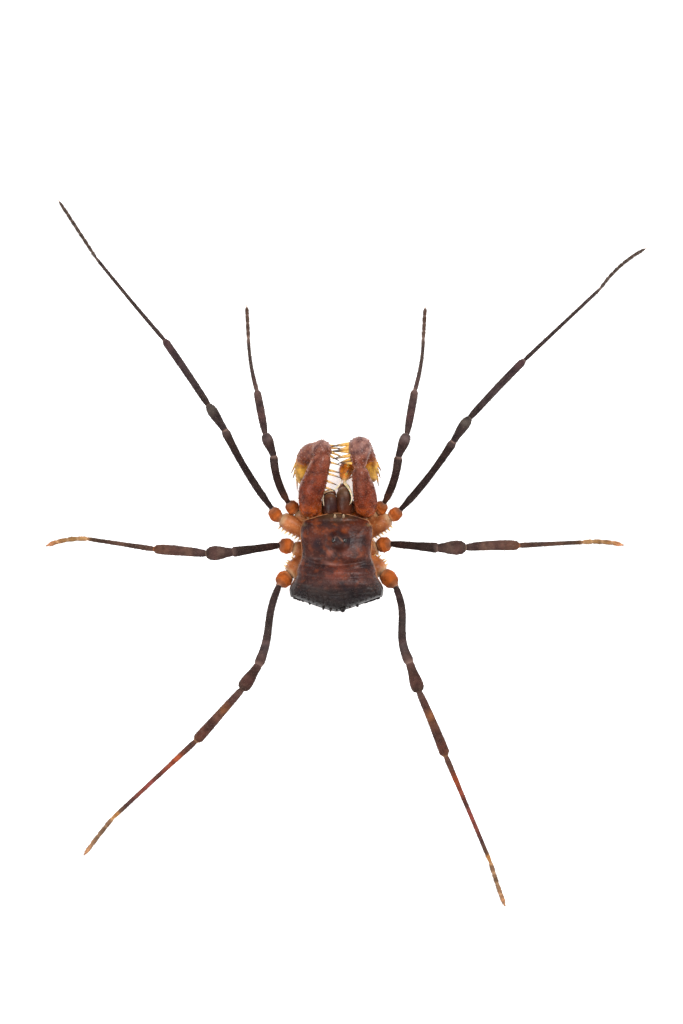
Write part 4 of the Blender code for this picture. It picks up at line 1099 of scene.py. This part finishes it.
def leg_lines(name, count=48):
    """The lines of the five parts of a leg beyond its trochanter."""
    side, pair = which_leg(name)
    (x, y), *parts = LEGS[name][1:]
    place = np.array((side * x, y, LEG_HEIGHTS[pair][0] + FEMUR_RISE))
    sway = FEMUR_SWAY.get(name, 0)
    share = np.linspace(0, 1, count)[:, None]
    lift = 4 * share * (1 - share)
    lines = []
    for heading, reach, bow, height, arch in zip(*parts, LEG_HEIGHTS[pair][1:], ARCHES):
        turn = math.radians(heading)
        ahead = np.array((side * math.sin(turn), -math.cos(turn), 0))
        sideways = np.array((side * math.cos(turn), math.sin(turn), 0))
        end = place + ahead * reach
        end[2] = height
        span = np.linalg.norm(end - place)
        shift = sideways * (span * math.radians(bow) / 8 * lift + sway * np.sin(2 * np.pi * share))
        lines.append(place + (end - place) * share + shift + UP * arch * lift)
        place = end
        sway = 0
    return lines


def tarsus_profile(pair, share):
    """Width, and nearness to a joint, along a tarsus of several short parts."""
    part = (share * TARSOMERES[pair]) % 1
    joint = np.maximum(bump_at(part, 0, 0.13), bump_at(part, 1, 0.13)) * (share > 0.02) * (share < 0.98)
    width = TARSUS_WIDTHS[pair] * (0.88 + 0.12 * part) * (1 - 0.18 * joint)
    return width * spread(((0, 0.75), (0.04, 1), (0.90, 1), (1, 0.55)), share), joint


def leg_tubes(name):
    """The six parts of a leg as limbs."""
    pair = which_leg(name)[1]
    hip, step = hip_joint(name)[2:]
    wide = TROCHANTER_WIDTHS[pair]
    lines = leg_lines(name)
    line = smooth_line((hip - step * 0.44, hip, lines[0][0], lines[0][1]), 36)
    widths = [(share, wide * part) for share, part in TROCHANTER_PROFILE] + [(1, NECK_WIDTH)]
    trochanter = profiled(line, widths, 32)
    middle = [profiled(line, widths, 24) for line, widths in zip(lines, LEG_WIDTHS[pair])]
    line = leg_lines(name, TARSOMERE_POINTS * TARSOMERES[pair])[-1]
    widths = tarsus_profile(pair, np.linspace(0, 1, len(line)))[0]
    return [trochanter, *middle, Tube(line, widths, UP, 16)]


def build_leg(name, material):
    """One whole leg, from the trochanter to the last joint of the foot."""
    side, pair = which_leg(name)
    rng = np.random.default_rng(SEEDS["legs"] + 10 * pair + side)
    form = Form()
    colours = (TROCHANTER_COLOURS, *LEG_COLOURS[pair])
    for index, (tube, stations) in enumerate(zip(leg_tubes(name), colours)):
        patch = tube.patch()
        tint = tints(stations, patch.along)
        if index == 5:
            tint = blend(tint, 0.6 * tarsus_profile(pair, patch.along)[1], TARSUS_JOINT_COLOURS[pair])
        form.add(patch, tint)
        if index < len(LEG_GRANULES):
            count = int(tube.length * LEG_GRANULES[index])
            studs, at = granules(tube, rng, count, (0.06, 0.94), (0, 360), LEG_GRANULE)
            form.add(studs, shared(tints(stations, at), studs) * 1.3)
    form.piece(name, material, "legs", [name + "_" + part for part in ("femur", "tibia", "foot")])


def build_claws(material):
    """The claws of the eight feet: one hook in front, three prongs behind."""
    form = Form()
    for name in LEGS:
        foot = leg_tubes(name)[-1]
        tip, ahead = foot.path[-1], foot.tangent[-1]
        across = unit(np.cross(ahead, UP))
        for angle in (0,) if which_leg(name)[1] < 3 else (-24, 0, 24):
            way = ahead * math.cos(math.radians(angle)) + across * math.sin(math.radians(angle)) + UP * 0.35
            form.paint(grow(tip - ahead * 0.02, way, 0.12 if angle else 0.16, 0.045, SPINE_PROFILE, 10,
                            -UP * 0.55 + ahead * 0.1), CLAW_COLOURS)
    form.piece("claws", material, "feet")


def palp_tubes(name):
    """The parts of a palp as limbs, by name."""
    side = SIDES[name]
    return {part: routed(np.array(stations) * (side, 1, 1, 1), 60, (side, 0, 0), 14 if part == "claw" else 36,
                         True, 1.05 if part == "femur" else 1.0)
            for part, stations in PALPS[name].items()}


def build_palp(name, material, spine_material):
    """One folded palp: its fleshy parts, its granules and its rows of spines."""
    rng = np.random.default_rng(SEEDS["palps"] + SIDES[name])
    tubes = palp_tubes(name)
    base, tip, spines = Form(), Form(), Form()
    forms = {"trochanter": base, "femur": base, "patella": tip, "tibia": tip, "tarsus": tip, "claw": spines}
    for part, tube in tubes.items():
        patch = tube.patch()
        tint = tints(PALP_COLOURS[part], patch.along)
        if part == "femur":
            # Painted highlight: a pale streak of shine along the femur's outer edge
            middle, reach, angle, width = RIM_HIGHLIGHTS[name]
            turn = np.append(np.tile(np.degrees(circle(tube.sides)), len(tube.path)), (180, 180))
            rim_highlight = bump_at(turn, angle, width) * np.exp(-(((patch.along - middle) / reach) ** 4))
            tint = blend(tint, 0.85 * rim_highlight, (206, 154, 132))
        forms[part].add(patch, tint)
    for part, count, angles, last, widths in PALP_GRANULES:
        studs, at = granules(tubes[part], rng, count, (0.06, last), angles, (*widths, *PALP_GRANULE))
        # Granules paler than their limb: partly their own pale colour, partly a painted highlight standing in
        # for glints on them
        pale_and_highlight = (0.50, (168, 100, 82)) if part == "femur" else (0.62, (206, 168, 160))
        forms[part].add(studs, blend(shared(tints(PALP_COLOURS[part], at), studs), *pale_and_highlight))
    for part, first, last, count, angle, length, lean, width in SPINES[name]:
        at = np.linspace(first, last, count) + rng.uniform(-0.02, 0.02, count)
        foot, out, ahead = tubes[part].spot(at, angle + rng.uniform(-8, 8, count))
        way = unit(out + ahead * (lean + rng.uniform(-0.22, 0.22, (count, 1))))
        long = length * rng.uniform(0.8, 1.15, count)
        wide = width * rng.uniform(0.9, 1.1, count)
        bend = UP * 0.05 - ahead * 0.10
        spines.paint(grow(foot - way * 0.05, way, long + 0.05, wide, SPINE_PROFILE, 12, bend), SPINE_COLOURS)
        collar = grow(foot - out * 0.05, out, 0.085, width * 1.3, GRANULE_PROFILE, 14)
        spines.add(collar, shared(tints(PALP_COLOURS[part], at), collar) * 1.1)
    base.piece("palp_base_" + name, material, "palps", ["palp_femur_" + name])
    tip.piece("palp_tip_" + name, material, "palp_tips", ["palp_tibia_" + name, "palp_tarsus_" + name])
    spines.piece("palp_spines_" + name, spine_material, "palp_tips")


def build_pincer(name, material):
    """One pincer: its base, the hanging hand and the two toothed fingers."""
    side = SIDES[name]
    facing, mirror = (side, 0, 0), (side, 1, 1, 1)
    form = Form()
    base = routed(np.array(PINCERS[name]) * mirror, 48, facing, 32, True)
    form.paint(base.patch(), PINCER_COLOURS[name])
    form.add(routed(np.array(PINCER_RIMS[name]) * mirror, 30, UP, 12).patch(), colour(CREAM))
    end = np.append(base.path[-1], 0)
    form.paint(routed(end + np.array(HAND) * mirror, 40, facing, 32).patch(), HAND_COLOURS)
    for way in (1, -1):
        finger = routed(end + np.array(FINGER) * (side * way, 1, 1, 1), 24, facing, 16)
        form.paint(finger.patch(), FINGER_COLOURS)
        foot, out = finger.spot(np.linspace(0.3, 0.85, 5), 180 if way > 0 else 0)[:2]
        form.add(grow(foot - out * 0.01, out, 0.04, 0.035, GRANULE_PROFILE, 6), colour((70, 48, 38)))
    form.piece("pincer_" + name, material, "chelicerae", ["chelicera_" + name])


class Hairs(Form):
    """Fine hairs gathered limb by limb, each with its own patch of the unwrap."""

    def __init__(self, limbs):
        super().__init__()
        self.limbs = limbs
        self.unwrap = []

    def comb(self, tube, rng, count, length, width, lean, rgb):
        """Spread hairs over a limb, leaning along it, and leave out those that would cross the floor."""
        at = rng.uniform(0.03, 0.97, count)
        angle = rng.uniform(0, 360, count)
        foot, out, ahead = tube.spot(at, angle)
        place = np.stack((0.01 + 0.97 * at, (len(self.unwrap) + 0.05 + 0.9 * angle / 360) / self.limbs), -1)
        long = length * rng.uniform(0.6, 1.3, count)
        foot, way, bend = foot - out * 0.006, out + ahead * lean, ahead * 0.35
        keep = (foot + (unit(way) + bend) * long[:, None])[:, 2] > FLOOR_CLEARANCE
        hairs = grow(foot[keep], way[keep], long[keep], width, HAIR_PROFILE, HAIR_SIDES, bend[keep])
        self.add(hairs, colour(rgb))
        self.unwrap.append((place[keep][:, None] + HAIR_CORNERS).reshape(-1, 2))

    def finish(self, name, material, slot):
        """Make the piece."""
        self.piece(name, material, slot, uv=np.vstack(self.unwrap))


def build_hairs(material):
    """Fine setae on every leg and on the palps."""
    for name in LEGS:
        side, pair = which_leg(name)
        rng = np.random.default_rng(SEEDS["leg_hairs"] + 10 * pair + side)
        hairs = Hairs(len(LEG_HAIRS))
        for tube, (density, length, rgb) in zip(leg_tubes(name), LEG_HAIRS):
            hairs.comb(tube, rng, int(density * max(tube.length, 0.4)), length, 0.008, 1.4, rgb)
        hairs.finish("hair_" + name, material, "legs")
    rng = np.random.default_rng(SEEDS["palp_hairs"])
    hairs = Hairs(len(PALPS) * len(PALP_HAIRS))
    for name in PALPS:
        tubes = palp_tubes(name)
        for part, count, length in PALP_HAIRS:
            hairs.comb(tubes[part], rng, count, length, 0.009, 1.1, (178, 126, 88))
    hairs.finish("hair_palps", material, "palps")


def build_stage():
    """Pale floor, soft studio light all round, and the camera straight above."""
    mesh = bpy.data.meshes.new("floor")
    corners = ((-1, -1), (1, -1), (1, 1), (-1, 1))
    mesh.from_pydata([(x * FLOOR_REACH, y * FLOOR_REACH, 0) for x, y in corners], [], [(0, 1, 2, 3)])
    graph = Graph("floor", Roughness=0.9, Specular_IOR_Level=0.1, Emission_Strength=0.55,
                  Emission_Color=WHITE)
    base = graph.ramp(graph.noise(8.0), (0.3, 250, 250, 250), (0.7, 253, 253, 253))
    mesh.materials.append(graph.finish(base))
    stage = placed("floor", mesh)

    world = bpy.data.worlds.new("studio")
    world.use_nodes = True
    background = world.node_tree.nodes["Background"]
    background.inputs["Color"].default_value = WHITE
    background.inputs["Strength"].default_value = WORLD_STRENGTH
    bpy.context.scene.world = world
    for name, place, size, power in LIGHTS:
        light = bpy.data.lights.new(name, "AREA")
        light.shape = "DISK"
        light.size = size
        light.energy = power
        lamp = placed(name, light)
        lamp.location = place
        lamp.rotation_euler = (-Vector(place)).to_track_quat("-Z", "Y").to_euler()

    camera = bpy.data.cameras.new("camera")
    camera.sensor_fit = "VERTICAL"
    camera.sensor_height = CAMERA_SENSOR
    camera.lens = CAMERA_LENS
    camera.clip_start = 0.001
    camera.clip_end = 10
    view = placed("camera", camera)
    view.location = (*(CAMERA_AIM + SHIFT[:2]) * MM, CAMERA_HEIGHT * MM)
    view.rotation_euler = (0, 0, math.pi)
    bpy.context.scene.camera = view
    bpy.context.scene.view_settings.view_transform = "Standard"
    bpy.context.scene.view_settings.look = "None"


plate = plate_material()
belly = limb_material("belly", 0.30, (176, 160, 150), (255, 250, 244), 0.006)
leg = limb_material("leg", 0.22, (172, 164, 164), (255, 246, 240), 0.004, 0.07, (0.55, 0.75), 0.04)
pincer = limb_material("pincer", 0.25, (160, 150, 150), (255, 246, 240), 0.005, 0.06)
palp = limb_material("palp", 0.20, (134, 116, 121), (248, 234, 223), 0.009, 0.18, (0.20, 0.40), 0.18)
amber = plain_material("amber", 0.08, 0.002, (0.18, 0.30), Subsurface_Weight=0.25, Subsurface_Scale=0.0001)

build_plate(plate)
build_eyes(eye_material(), plain_material("lid", 0.05, 0.003))
build_belly(belly)
build_rings(plate)
for side_name in SIDES:
    build_pincer(side_name, pincer)
    build_palp(side_name, palp, amber)
for leg_name in LEGS:
    build_leg(leg_name, leg)
build_claws(plain_material("claw", 0.05, 0.002, (0.25, 0.4)))
build_hairs(plain_material("hair", 0.05, 0.0005, (0.4, 0.55)))
build_stage()
